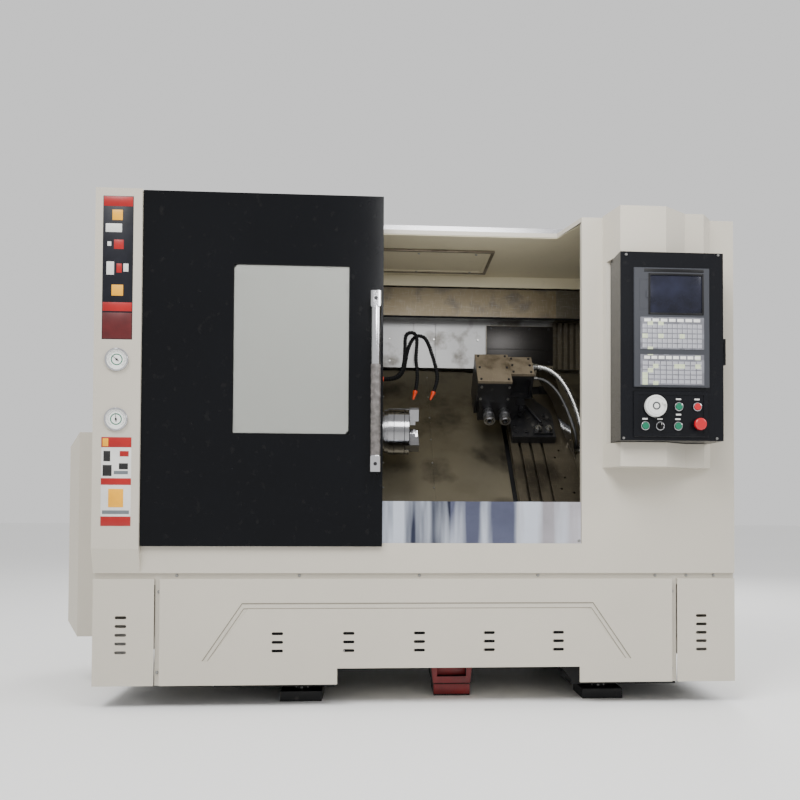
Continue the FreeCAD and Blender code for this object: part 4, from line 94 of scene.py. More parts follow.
class Head(Enum):
    """Small shape that a repeater sets on every point of a layout."""

    PAN = "pan"
    SOCKET = "socket"
    HEX = "hex"
    BAR = "bar"
    KEY = "key"
    BEAD = "bead"


def tone(red: float, green: float, blue: float) -> Colour:
    """Linear colour of an 8-bit screen colour.

    Args:
        red, green, blue: channels from 0 to 255.

    Returns:
        The three linear channels.
    """
    def channel(value: float) -> float:
        """One channel, without the screen's curve."""
        part = value / 255.0
        return part / 12.92 if part <= 0.04045 else ((part + 0.055) / 1.055) ** 2.4

    return channel(red), channel(green), channel(blue)


def slope(x: float, s: float, n: float) -> Vector:
    """Point at x along the spindle, s up the bed and n square to it, in the machine's frame."""
    return Vector((x, SLOPE_Y + (s - n) * ROOT_HALF, SLOPE_Z + (s + n) * ROOT_HALF))


def turn_to(direction: Vector) -> Euler:
    """Turn that points a fitting's own Z along a direction."""
    return Vector(direction).to_track_quat("Z", "Y").to_euler()


# ---------------------------------------------------------------- finishes
@dataclass(frozen=True)
class Zone:
    """Part of a surface given another colour past a limit along one axis: the screen's dark field, painted
    reflection on the mirror sheet and painted shade on the lining.
    """

    axis: int
    limit: float
    colour: Colour
    below: bool = False


@dataclass(frozen=True)
class Finish:
    """Painted, moulded or metal surface with shade variation, grain and uneven gloss."""

    name: str
    colour: Colour
    metallic: float = 0.0
    gloss: tuple[float, float] = (0.35, 0.5)
    variation: float = 0.05
    patch: float = 2.5
    grain: float = 700.0
    stretch: Point = (1.0, 1.0, 1.0)
    relief: float = 0.00006
    coat: float = 0.0
    specular: float = 0.5
    zones: tuple[Zone, ...] = ()
    dust: float = 0.0

    def material(self) -> bpy.types.Material:
        """Material of this finish, built once and then shared."""
        return bpy.data.materials.get(self.title) or self.build()

    @property
    def title(self) -> str:
        """Name of the finish's own material, apart from the frame's slot names."""
        return f"finish_{self.name}"

    def build(self) -> bpy.types.Material:
        """Builds the node tree.

        Returns:
            The new material.
        """
        made = Shade(self.title)
        made.shader.inputs["Metallic"].default_value = self.metallic
        made.shader.inputs["Coat Weight"].default_value = self.coat
        made.shader.inputs["Specular IOR Level"].default_value = self.specular
        broad = made.noise(self.patch, 6.0)
        colour = made.blend(broad, self.tint(self.colour, -1.0), self.tint(self.colour, 1.0))
        # Zones lay their colour past a limit; on the mirror and lining sheets this is painted reflection and
        # painted shade.
        for zone in self.zones:
            own = made.blend(broad, self.tint(zone.colour, -1.0), self.tint(zone.colour, 1.0))
            colour = made.mix(made.mask(zone), colour, own)
        colour = self.mark(made, colour)
        if self.dust:
            specks = made.level(made.noise(38.0, 12.0), 0.62, 0.75, 0.0, self.dust)
            colour = made.mix(specks, colour, made.rgb(tone(150, 146, 138)))
        made.link(colour, made.shader.inputs["Base Color"])
        self.surface(made, broad)
        return made.material

    def tint(self, colour: Colour, side: float) -> Colour:
        """Colour moved towards light or dark by the finish's variation."""
        return tuple(min(1.0, c * (1.0 + side * self.variation)) for c in colour)

    def mark(self, made: "Shade", colour: bpy.types.NodeSocket) -> bpy.types.NodeSocket:
        """Marks a special finish lays over its colour; a plain finish has none."""
        return colour

    def surface(self, made: "Shade", broad: bpy.types.NodeSocket) -> None:
        """Gloss and relief.

        Args:
            made: the shader under construction.
            broad: the wide shade variation.
        """
        fine = made.noise(self.grain, 4.0, self.stretch)
        uneven = made.combine(fine, broad)
        made.link(made.level(uneven, 0.3, 0.7, *self.gloss), made.shader.inputs["Roughness"])
        made.bump(fine, self.relief)


@dataclass(frozen=True)
class TurnedFinish(Finish):
    """Steel turned on a lathe: fine rings about the spindle axis."""

    pitch: float = 160.0

    def surface(self, made: "Shade", broad: bpy.types.NodeSocket) -> None:
        """Ringed gloss and relief.

        Args:
            made: the shader under construction.
            broad: the wide shade variation.
        """
        axis = slope(0.0, 0.0, AXIS_N)
        wave = made.add("ShaderNodeTexWave", wave_type="RINGS", rings_direction="X")
        wave.inputs["Scale"].default_value = self.pitch
        wave.inputs["Distortion"].default_value = 1.2
        wave.inputs["Detail"].default_value = 3.0
        made.link(made.placed((1.0, 1.0, 1.0), -axis), wave.inputs["Vector"])
        rings = wave.outputs["Fac"]
        uneven = made.combine(rings, broad)
        made.link(made.level(uneven, 0.2, 0.8, *self.gloss), made.shader.inputs["Roughness"])
        made.bump(rings, self.relief)


@dataclass(frozen=True)
class ScratchedFinish(Finish):
    """Sheet metal with crossing scratches and stains."""

    scratch: Colour = (0.6, 0.6, 0.58)
    stain: Colour = (0.05, 0.045, 0.04)
    strength: float = 0.35
    stain_size: float = 9.0

    def mark(self, made: "Shade", colour: bpy.types.NodeSocket) -> bpy.types.NodeSocket:
        """Lays stains and two families of scratches over the colour.

        Args:
            made: the shader under construction.
            colour: the colour so far.

        Returns:
            The marked colour.
        """
        stains = made.level(made.noise(self.stain_size, 8.0), 0.5, 0.66, 0.0, 0.8)
        colour = made.mix(stains, colour, made.rgb(self.stain))
        for stretch, turn in (((3.0, 3.0, 90.0), 0.5), ((80.0, 4.0, 4.0), -0.35)):
            lines = made.noise(7.0, 5.0, stretch, turn)
            marks = made.level(lines, 0.6, 0.7, 0.0, self.strength)
            colour = made.mix(marks, colour, made.rgb(self.scratch))
        return colour


@dataclass(frozen=True)
class PaintedReflectionFinish(Finish):
    """Mirror sheet under a clear film, whose reflections are painted: upright pale streaks and soft ripples.
    """

    reflection_tint: Colour = (0.82, 0.88, 1.0)

    def mark(self, made: "Shade", colour: bpy.types.NodeSocket) -> bpy.types.NodeSocket:
        """Lays pale upright streaks of painted reflection over the colour.

        Args:
            made: the shader under construction.
            colour: the colour so far.

        Returns:
            The streaked colour.
        """
        reflection_streaks = made.noise(7.0, 3.0, (1.6, 1.0, 0.16), 0.12)
        return made.mix(made.level(reflection_streaks, 0.46, 0.62, 0.0, 0.85), colour, made.rgb(self.reflection_tint))


@dataclass(frozen=True)
class CellFinish(Finish):
    """Printed film whose small keys differ a little in colour, key by key."""

    cell: float = 0.0175
    accent: Colour = (0.6, 0.68, 0.4)

    def mark(self, made: "Shade", colour: bpy.types.NodeSocket) -> bpy.types.NodeSocket:
        """Gives each cell of the film a shade of its own.

        Args:
            made: the shader under construction.
            colour: the colour so far.

        Returns:
            The celled colour.
        """
        snap = made.add("ShaderNodeVectorMath", operation="SNAP")
        snap.inputs[1].default_value = (self.cell, 1.0, self.cell * 0.8)
        made.link(made.coords, snap.inputs[0])
        white = made.add("ShaderNodeTexWhiteNoise", noise_dimensions="3D")
        made.link(snap.outputs[0], white.inputs["Vector"])
        shade = white.outputs["Value"]
        colour = made.mix(made.level(shade, 0.0, 1.0, 0.0, 0.35), colour, made.rgb(tone(150, 152, 160)))
        return made.mix(made.level(shade, 0.86, 0.87, 0.0, 0.7), colour, made.rgb(self.accent))


class Shade:
    """A material under construction: its node tree and its shader."""

    def __init__(self, name: str) -> None:
        """Starts an empty material.

        Args:
            name: the material's name.
        """
        self.material = bpy.data.materials.new(name)
        self.material.use_nodes = True
        self.tree = self.material.node_tree
        self.shader = self.tree.nodes["Principled BSDF"]
        self.coords = self.add("ShaderNodeTexCoord").outputs["Object"]

    def add(self, kind: str, **settings: object) -> bpy.types.Node:
        """New node with some of its settings."""
        node = self.tree.nodes.new(kind)
        for key, value in settings.items():
            setattr(node, key, value)
        return node

    def link(self, source: bpy.types.NodeSocket, target: bpy.types.NodeSocket) -> None:
        """Joins two sockets."""
        self.tree.links.new(source, target)

    def placed(self, stretch: Point, shift: Point = (0, 0, 0), turn: float = 0.0) -> bpy.types.NodeSocket:
        """Object coordinates, stretched, shifted and turned.

        Args:
            stretch: scale along each axis.
            shift: move along each axis, in metres.
            turn: turn about Y, in radians.

        Returns:
            The vector socket.
        """
        node = self.add("ShaderNodeMapping")
        node.inputs["Location"].default_value = shift
        node.inputs["Rotation"].default_value = (0.0, turn, 0.0)
        node.inputs["Scale"].default_value = stretch
        self.link(self.coords, node.inputs["Vector"])
        return node.outputs["Vector"]

    def noise(
        self, scale: float, detail: float, stretch: Point = (1, 1, 1), turn: float = 0.0,
    ) -> bpy.types.NodeSocket:
        """Noise on the object's coordinates.

        Args:
            scale: features to the metre.
            detail: octaves.
            stretch: scale along each axis.
            turn: turn about Y, in radians.

        Returns:
            The noise's value, about 0.5.
        """
        node = self.add("ShaderNodeTexNoise")
        node.inputs["Scale"].default_value = scale
        node.inputs["Detail"].default_value = detail
        self.link(self.placed(stretch, (0, 0, 0), turn), node.inputs["Vector"])
        return node.outputs["Fac"]

    def rgb(self, colour: Colour) -> bpy.types.NodeSocket:
        """Plain colour socket."""
        node = self.add("ShaderNodeRGB")
        node.outputs[0].default_value = (*colour, 1.0)
        return node.outputs[0]

    def mix(
        self, factor: bpy.types.NodeSocket, low: bpy.types.NodeSocket, high: bpy.types.NodeSocket,
    ) -> bpy.types.NodeSocket:
        """Two colour sockets mixed by a factor.

        Args:
            factor: from 0, the first colour, to 1, the second.
            low: the first colour.
            high: the second colour.

        Returns:
            The mixed colour.
        """
        node = self.add("ShaderNodeMix", data_type="RGBA")
        self.link(factor, node.inputs["Factor"])
        self.link(low, node.inputs["A"])
        self.link(high, node.inputs["B"])
        return node.outputs["Result"]

    def blend(self, factor: bpy.types.NodeSocket, low: Colour, high: Colour) -> bpy.types.NodeSocket:
        """Two plain colours mixed by the middle range of a noise."""
        return self.mix(self.level(factor, 0.3, 0.7, 0.0, 1.0), self.rgb(low), self.rgb(high))

    def level(
        self, value: bpy.types.NodeSocket, a: float, b: float, low: float, high: float,
    ) -> bpy.types.NodeSocket:
        """Value mapped from a..b to low..high and held there."""
        node = self.add("ShaderNodeMapRange")
        for key, number in (("From Min", a), ("From Max", b), ("To Min", low), ("To Max", high)):
            node.inputs[key].default_value = number
        self.link(value, node.inputs["Value"])
        return node.outputs["Result"]

    def combine(self, first: bpy.types.NodeSocket, second: bpy.types.NodeSocket) -> bpy.types.NodeSocket:
        """Mean of two values."""
        node = self.add("ShaderNodeMath", operation="ADD")
        self.link(first, node.inputs[0])
        self.link(second, node.inputs[1])
        half = self.add("ShaderNodeMath", operation="MULTIPLY")
        half.inputs[1].default_value = 0.5
        self.link(node.outputs[0], half.inputs[0])
        return half.outputs[0]

    def mask(self, zone: Zone) -> bpy.types.NodeSocket:
        """1 inside a zone and 0 outside it."""
        split = self.add("ShaderNodeSeparateXYZ")
        self.link(self.coords, split.inputs[0])
        edge = 0.0002
        ends = (1.0, 0.0) if zone.below else (0.0, 1.0)
        return self.level(split.outputs[zone.axis], zone.limit - edge, zone.limit + edge, *ends)

    def bump(self, height: bpy.types.NodeSocket, distance: float) -> None:
        """Relief of the surface, in metres."""
        node = self.add("ShaderNodeBump")
        node.inputs["Distance"].default_value = distance
        node.inputs["Strength"].default_value = 0.6
        self.link(height, node.inputs["Height"])
        self.link(node.outputs["Normal"], self.shader.inputs["Normal"])


PAINT = Finish(
    "casing_paint", tone(185, 179, 166), gloss=(0.3, 0.45), variation=0.025, grain=420.0,
    relief=0.00012,
)
CEILING_PAINT = Finish("ceiling_paint", tone(212, 203, 174), gloss=(0.4, 0.55), variation=0.05, dust=0.15)
GLOSS_BLACK = Finish(
    "gloss_black_paint", tone(9, 10, 13), gloss=(0.08, 0.18), variation=0.12, grain=300.0, relief=0.00003,
    specular=0.16, dust=0.015,
)
PANEL_BLACK = Finish(
    "panel_black_paint", tone(12, 13, 17), gloss=(0.2, 0.34), variation=0.1, specular=0.2, dust=0.015,
)
BLACK_PLASTIC = Finish(
    "black_plastic", tone(10, 10, 12), specular=0.25, gloss=(0.35, 0.5), variation=0.1,
    grain=1500.0,
)
BLACK_RUBBER = Finish(
    "black_rubber", tone(10, 10, 11), gloss=(0.6, 0.75), variation=0.15, grain=1100.0, specular=0.15,
)
CONTROL_GREY = Finish(
    "control_grey_plastic", tone(44, 46, 52), gloss=(0.38, 0.5), variation=0.05, grain=1500.0,
)
SCREEN_FILM = CellFinish(
    "screen_and_key_film", tone(92, 92, 98), gloss=(0.22, 0.32), variation=0.03,
    zones=(Zone(2, 1.295, tone(13, 14, 20)),),
)
KEY_FILM = CellFinish("key_film", tone(150, 150, 156), gloss=(0.3, 0.4), variation=0.03)
SCREEN_GLASS = Finish(
    "screen_glass", tone(22, 24, 38), gloss=(0.08, 0.2), variation=0.5, patch=14.0, relief=0.0, specular=0.35,
)
WHITE_PLASTIC = Finish("white_plastic", tone(214, 214, 210), gloss=(0.3, 0.45), variation=0.04, grain=1400.0)
DIAL_WHITE = Finish("dial_white", tone(225, 226, 222), gloss=(0.35, 0.45), variation=0.03)
INK_BLACK = Finish("ink_black", tone(14, 14, 15), gloss=(0.4, 0.5), variation=0.1)
LABEL_DARK = Finish("label_dark", tone(14, 15, 24), specular=0.3, gloss=(0.3, 0.4), variation=0.2, patch=30.0)
LABEL_RED = Finish("label_red", tone(150, 14, 14), gloss=(0.3, 0.4), variation=0.12, patch=20.0)
LABEL_DEEP_RED = Finish("label_deep_red", tone(78, 9, 12), gloss=(0.3, 0.4), variation=0.2, patch=25.0)
LABEL_WHITE = Finish("label_white", tone(206, 206, 202), gloss=(0.3, 0.4), variation=0.06, patch=20.0)
LABEL_YELLOW = Finish("label_yellow", tone(226, 160, 14), gloss=(0.3, 0.4), variation=0.08, patch=20.0)
LABEL_GREY = Finish("label_grey", tone(96, 102, 106), gloss=(0.3, 0.4), variation=0.1, patch=20.0)
RED_PLASTIC = Finish("red_plastic", tone(176, 16, 28), gloss=(0.2, 0.3), variation=0.05, coat=0.1)
GREEN_PLASTIC = Finish("green_plastic", tone(4, 100, 72), gloss=(0.2, 0.3), variation=0.05, coat=0.1)
ORANGE_PLASTIC = Finish("orange_plastic", tone(190, 52, 8), gloss=(0.3, 0.42), variation=0.08)
WINDOW_FILM = Finish(
    "window_film", tone(190, 192, 186), gloss=(0.28, 0.42), variation=0.02, patch=1.4, grain=60.0,
)
CLEAR_WRAP = Finish(
    "handle_wrap", tone(92, 88, 86), gloss=(0.15, 0.35), variation=0.35, patch=60.0, relief=0.0004,
)
CHROME = Finish(
    "chrome", tone(205, 205, 208), metallic=1.0, gloss=(0.06, 0.16), variation=0.05, relief=0.00002,
)
STEEL = Finish(
    "machined_steel", tone(170, 170, 172), metallic=1.0, gloss=(0.22, 0.36), variation=0.08,
    grain=900.0, stretch=(6.0, 1.0, 1.0),
)
BRIGHT_SCREW = Finish("zinc_screw", tone(150, 150, 148), metallic=1.0, gloss=(0.25, 0.4), variation=0.1)
BLACK_SCREW = Finish("blackened_screw", tone(40, 40, 42), metallic=0.6, gloss=(0.3, 0.45), variation=0.15)
TURNED = TurnedFinish(
    "turned_steel", tone(140, 140, 142), metallic=1.0, gloss=(0.16, 0.34), variation=0.06,
    relief=0.00005,
)
# The splash plate's colour is painted reflection: a dark blue-grey that brightens in two steps towards the
# right, under pale streaks.
MIRROR = PaintedReflectionFinish(
    "mirror_steel", tone(52, 56, 74), metallic=0.8, gloss=(0.08, 0.2), variation=0.3,
    relief=0.00004, grain=40.0,
    zones=(Zone(0, 0.215, tone(104, 108, 132)), Zone(0, 0.440, tone(190, 186, 192))),
)
COVER_STEEL = ScratchedFinish(
    "oiled_cover_steel", tone(104, 98, 82), metallic=0.6, gloss=(0.22, 0.42), variation=0.2, patch=4.0,
    stretch=(40.0, 1.0, 1.0), scratch=tone(120, 112, 96), stain=tone(30, 26, 21), strength=0.3,
    stain_size=5.0,
)
# Painted light in the lining's zones: the brown band above the joint is painted reflection on the upper
# panel; the darker steps left of the bulkhead and towards the right wall are painted shade.
LINING = ScratchedFinish(
    "lining_sheet_painted_light", tone(150, 150, 150), metallic=0.35, gloss=(0.3, 0.5), variation=0.1, patch=5.0,
    scratch=tone(170, 170, 168), stain=tone(74, 68, 58), strength=0.22, stain_size=13.0,
    zones=(
        Zone(2, 1.479, tone(104, 92, 68)),
        Zone(0, -0.1475, tone(120, 112, 94), below=True),
        Zone(0, 0.722, tone(84, 78, 64)),
        Zone(0, 0.8815, tone(70, 64, 52)),
    ),
)
CAST_BLACK = Finish(
    "black_casting", tone(17, 17, 18), gloss=(0.4, 0.6), variation=0.25, patch=9.0, grain=260.0,
    specular=0.25, relief=0.0004, dust=0.12,
)
# Darker paint laid as painted shade along the folds of the skirt's pressed channel.
CHANNEL_SHADE = Finish("channel_painted_shade", tone(118, 113, 101), gloss=(0.4, 0.55), variation=0.05)
CAST_GREEN = Finish(
    "headstock_enamel", tone(160, 164, 156), gloss=(0.3, 0.45), variation=0.05, grain=200.0,
    relief=0.0003,
)
CAST_RED = Finish(
    "red_enamel", tone(112, 12, 16), gloss=(0.35, 0.55), variation=0.3, patch=14.0, grain=200.0,
    relief=0.0004, dust=0.1,
)
TABLE_STEEL = ScratchedFinish(
    "ground_table_steel", tone(74, 68, 56), metallic=0.7, gloss=(0.28, 0.44), variation=0.15, patch=6.0,
    scratch=tone(120, 114, 98), stain=tone(34, 29, 22), strength=0.3, stain_size=7.0,
)
# Tan used as painted light: painted shade round the ceiling hatch, and the lit top faces of the power head.
TAN_PAINTED_LIGHT = ScratchedFinish(
    "tan_painted_light", tone(106, 96, 80), metallic=0.4, gloss=(0.3, 0.45), variation=0.12, patch=12.0,
    scratch=tone(150, 138, 114), stain=tone(62, 52, 38), strength=0.3, stain_size=16.0,
)
CONDUIT_STEEL = Finish(
    "conduit_steel", tone(182, 182, 180), metallic=1.0, gloss=(0.2, 0.34), variation=0.12,
    patch=60.0,
)
BRAID = Finish(
    "braided_steel", tone(70, 70, 70), metallic=0.7, gloss=(0.3, 0.45), variation=0.25, patch=300.0,
    grain=900.0, relief=0.0003,
)
SERVO = Finish("servo_black", tone(34, 34, 37), gloss=(0.35, 0.5), variation=0.1)
DARK_SLATE = ScratchedFinish(
    "dark_slate_sheet", tone(34, 31, 29), metallic=0.5, gloss=(0.3, 0.45), variation=0.12, patch=8.0,
    scratch=tone(70, 68, 64), stain=tone(20, 19, 18), strength=0.25, stain_size=8.0,
)
HEAD_BLACK = Finish(
    "power_head_enamel", tone(14, 14, 16), gloss=(0.25, 0.4), variation=0.2, patch=14.0, grain=300.0,
    relief=0.0002, dust=0.1,
)
FLOOR = Finish("studio_floor", tone(244, 244, 243), gloss=(0.5, 0.6), variation=0.01, patch=0.4)

NODE_FINISHES: dict[Finish, tuple[str, ...]] = {
    PAINT: (
        "front_skirt", "corner_skirts", "side_walls", "rear_wall", "front_frame", "gauge_column",
        "roof_cover",
        "console_pillar", "side_cover", "electrical_cabinet", "cabinet_door", "chip_tray",
    ),
    CEILING_PAINT: ("ceiling_panels",),
    GLOSS_BLACK: ("door_panel",),
    PANEL_BLACK: ("panel_box", "button_plate"),
    CONTROL_GREY: ("control_unit", "port_flap"),
    SCREEN_FILM: ("screen_and_keypads",),
    BLACK_PLASTIC: ("selector_knob",),
    WHITE_PLASTIC: ("handwheel",),
    RED_PLASTIC: ("emergency_stop", "red_button"),
    GREEN_PLASTIC: ("green_button_1", "green_button_2", "green_button_3"),
    WINDOW_FILM: ("door_window",),
    CHROME: ("door_handle", "pressure_gauges", "hose_guard"),
    STEEL: ("door_track", "z_drive", "z_screw", "x_screw", "tool_nose_1", "tool_nose_2"),
    TURNED: ("spindle_shaft", "spindle_rear_parts", "chuck_body", "jaw_1", "jaw_2", "jaw_3", "motor_pulley"),
    MIRROR: ("front_splash_plate",),
    COVER_STEEL: ("fixed_way_covers", "way_cover_left", "way_cover_right", "carriage_cover"),
    LINING: ("inner_lining",),
    CAST_BLACK: ("bed_casting", "levelling_mounts", "saddle"),
    CAST_GREEN: ("headstock",),
    TABLE_STEEL: ("tool_table",),
    HEAD_BLACK: ("tool_head",),
    CONDUIT_STEEL: ("head_conduits",),
    BLACK_RUBBER: ("drive_belt", "coolant_hoses"),
    SERVO: ("spindle_motor", "x_servo"),
}


# ---------------------------------------------------------------- building
class Shape:
    """A mesh under construction, in metres in the machine's frame."""

    def __init__(self) -> None:
        """Starts empty."""
        self.bm = bmesh.new()

    def block(self, low: Point, high: Point, round_by: float = 0.0, turn: Matrix | None = None) -> "Shape":
        """Adds a block between two corners.

        Args:
            low: lowest corner.
            high: highest corner.
            round_by: radius of its edges.
            turn: matrix that sets it in place, from coordinates of its own.

        Returns:
            The shape itself.
        """
        centre = (Vector(low) + Vector(high)) / 2
        size = Vector(high) - Vector(low)
        place = Matrix.Translation(centre) @ Matrix.Diagonal((*size, 1.0))
        made = bmesh.ops.create_cube(self.bm, size=1.0, matrix=place)["verts"]
        if round_by:
            edges = {e for v in made for e in v.link_edges}
            cut = bmesh.ops.bevel(
                self.bm, geom=list(edges), offset=round_by, segments=2, affect="EDGES", profile=0.5,
            )
            made = list({v for f in cut["faces"] for v in f.verts} | {v for v in made if v.is_valid})
        if turn:
            bmesh.ops.transform(self.bm, matrix=turn, verts=made)
        return self

    def lathe(
        self, start: Point, axis: Point, profile: list[tuple[float, float]], sides: int = 32,
    ) -> "Shape":
        """Adds a closed turned shape.

        Args:
            start: point on its axis.
            axis: direction of its axis.
            profile: (distance along the axis, radius) from one end to the other.
            sides: faces round the axis.

        Returns:
            The shape itself.
        """
        along = Vector(axis).normalized()
        across = along.orthogonal().normalized()
        other = along.cross(across)
        rings = []
        for distance, radius in profile:
            middle = Vector(start) + along * distance
            ring = []
            for i in range(sides):
                angle = math.tau * i / sides
                ring.append(
                    self.bm.verts.new(middle + (across * math.cos(angle) + other * math.sin(angle)) * radius)
                )
            rings.append(ring)
        for one, two in zip(rings, rings[1:]):
            for i in range(sides):
                j = (i + 1) % sides
                self.bm.faces.new((one[i], one[j], two[j], two[i]))
        self.bm.faces.new(list(reversed(rings[0])))
        self.bm.faces.new(rings[-1])
        return self

    def loop(self, start: Point, axis: Point, profile: list[tuple[float, float]], sides: int = 40) -> "Shape":
        """Adds a turned ring, whose profile closes on itself.

        Args:
            start: point on its axis.
            axis: direction of its axis.
            profile: (distance along the axis, radius) all the way round the ring's section.
            sides: faces round the axis.

        Returns:
            The shape itself.
        """
        along = Vector(axis).normalized()
        across = along.orthogonal().normalized()
        other = along.cross(across)
        rings = []
        for distance, radius in profile:
            middle = Vector(start) + along * distance
            ring = []
            for i in range(sides):
                angle = math.tau * i / sides
                ring.append(
                    self.bm.verts.new(middle + (across * math.cos(angle) + other * math.sin(angle)) * radius)
                )
            rings.append(ring)
        for one, two in zip(rings, rings[1:] + rings[:1]):
            for i in range(sides):
                j = (i + 1) % sides
                self.bm.faces.new((one[i], one[j], two[j], two[i]))
        return self

    def prism(self, outline: list[Point], rise: Point) -> "Shape":
        """Adds a flat outline swept along a vector."""
        low = [self.bm.verts.new(Vector(p)) for p in outline]
        high = [self.bm.verts.new(Vector(p) + Vector(rise)) for p in outline]
        self.bm.faces.new(list(reversed(low)))
        self.bm.faces.new(high)
        for i in range(len(low)):
            j = (i + 1) % len(low)
            self.bm.faces.new((low[i], low[j], high[j], high[i]))
        return self

    def piece(self, name: str, finish: Finish, body: str, slot: str) -> bpy.types.Object:
        """Finishes the mesh and hangs it on its body.

        Args:
            name: the piece's name.
            finish: its finish.
            body: the body it rides on.
            slot: the record's material slot; not used.

        Returns:
            The finished object.
        """
        bmesh.ops.recalc_face_normals(self.bm, faces=self.bm.faces)
        mesh = bpy.data.meshes.new(name)
        self.bm.to_mesh(mesh)
        self.bm.free()
        mesh.materials.append(finish.material())
        return hang(name, mesh, body)


def hang(name: str, mesh: bpy.types.Mesh, body: str) -> bpy.types.Object:
    """Makes an object of a finished mesh, smooth but for its hard edges, and sets it on its body.

    Args:
        name: the piece's name.
        mesh: its mesh, with its material.
        body: the body it rides on.

    Returns:
        The object.
    """
    mesh.shade_smooth()
    mesh.set_sharp_from_angle(angle=math.radians(35.0))
    piece = bpy.data.objects.new(name, mesh)
    bpy.context.scene.collection.objects.link(piece)
    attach(piece, body)
    LOG.info("%s on %s: %d faces", name, body, len(mesh.polygons))
    return piece


class Tree:
    """A Geometry Nodes tree under construction."""

    def __init__(self, name: str) -> None:
        """Starts a tree with a geometry going in and out.

        Args:
            name: the tree's name.
        """
        self.tree = bpy.data.node_groups.new(name, "GeometryNodeTree")
        self.tree.is_modifier = True
        face = self.tree.interface
        face.new_socket("Geometry", in_out="OUTPUT", socket_type="NodeSocketGeometry")
        face.new_socket("Geometry", in_out="INPUT", socket_type="NodeSocketGeometry")
        self.into = self.add("NodeGroupInput")
        self.out = self.add("NodeGroupOutput")

    def add(self, kind: str, **settings: object) -> bpy.types.Node:
        """New node with some of its settings."""
        node = self.tree.nodes.new(kind)
        for key, value in settings.items():
            setattr(node, key, value)
        return node

    def link(self, source: bpy.types.NodeSocket, target: bpy.types.NodeSocket) -> None:
        """Joins two sockets."""
        self.tree.links.new(source, target)

    def ask(self, name: str, kind: str) -> bpy.types.NodeSocket:
        """Adds a named input and gives its socket.

        Args:
            name: the input's name.
            kind: Float, Int, Vector or Material.

        Returns:
            The socket inside the tree.
        """
        self.tree.interface.new_socket(name, in_out="INPUT", socket_type=f"NodeSocket{kind}")
        return self.into.outputs[name]

    def close(self, geometry: bpy.types.NodeSocket) -> None:
        """Ends the tree in Realize Instances and Set Material."""
        real = self.add("GeometryNodeRealizeInstances")
        dress = self.add("GeometryNodeSetMaterial")
        self.link(geometry, real.inputs["Geometry"])
        self.link(real.outputs["Geometry"], dress.inputs["Geometry"])
        self.link(self.ask("Material", "Material"), dress.inputs["Material"])
        self.link(dress.outputs["Geometry"], self.out.inputs["Geometry"])

    def run(self, mesh: bpy.types.Mesh, name: str, **values: object) -> bpy.types.Mesh:
        """Runs the tree on a mesh.

        Args:
            mesh: the mesh that goes in.
            name: name of the mesh that comes out.
            **values: the inputs, by name.

        Returns:
            The plain mesh.
        """
        carrier = bpy.data.objects.new(name + "_carrier", mesh)
        bpy.context.scene.collection.objects.link(carrier)
        modifier = carrier.modifiers.new(name, "NODES")
        modifier.node_group = self.tree
        for item in self.tree.interface.items_tree:
            if item.in_out == "INPUT" and item.name in values:
                modifier[item.identifier] = values[item.name]
        graph = bpy.context.evaluated_depsgraph_get()
        made = bpy.data.meshes.new_from_object(carrier.evaluated_get(graph))
        made.name = name
        carrier.modifiers.remove(modifier)
        bpy.data.objects.remove(carrier)
        return made


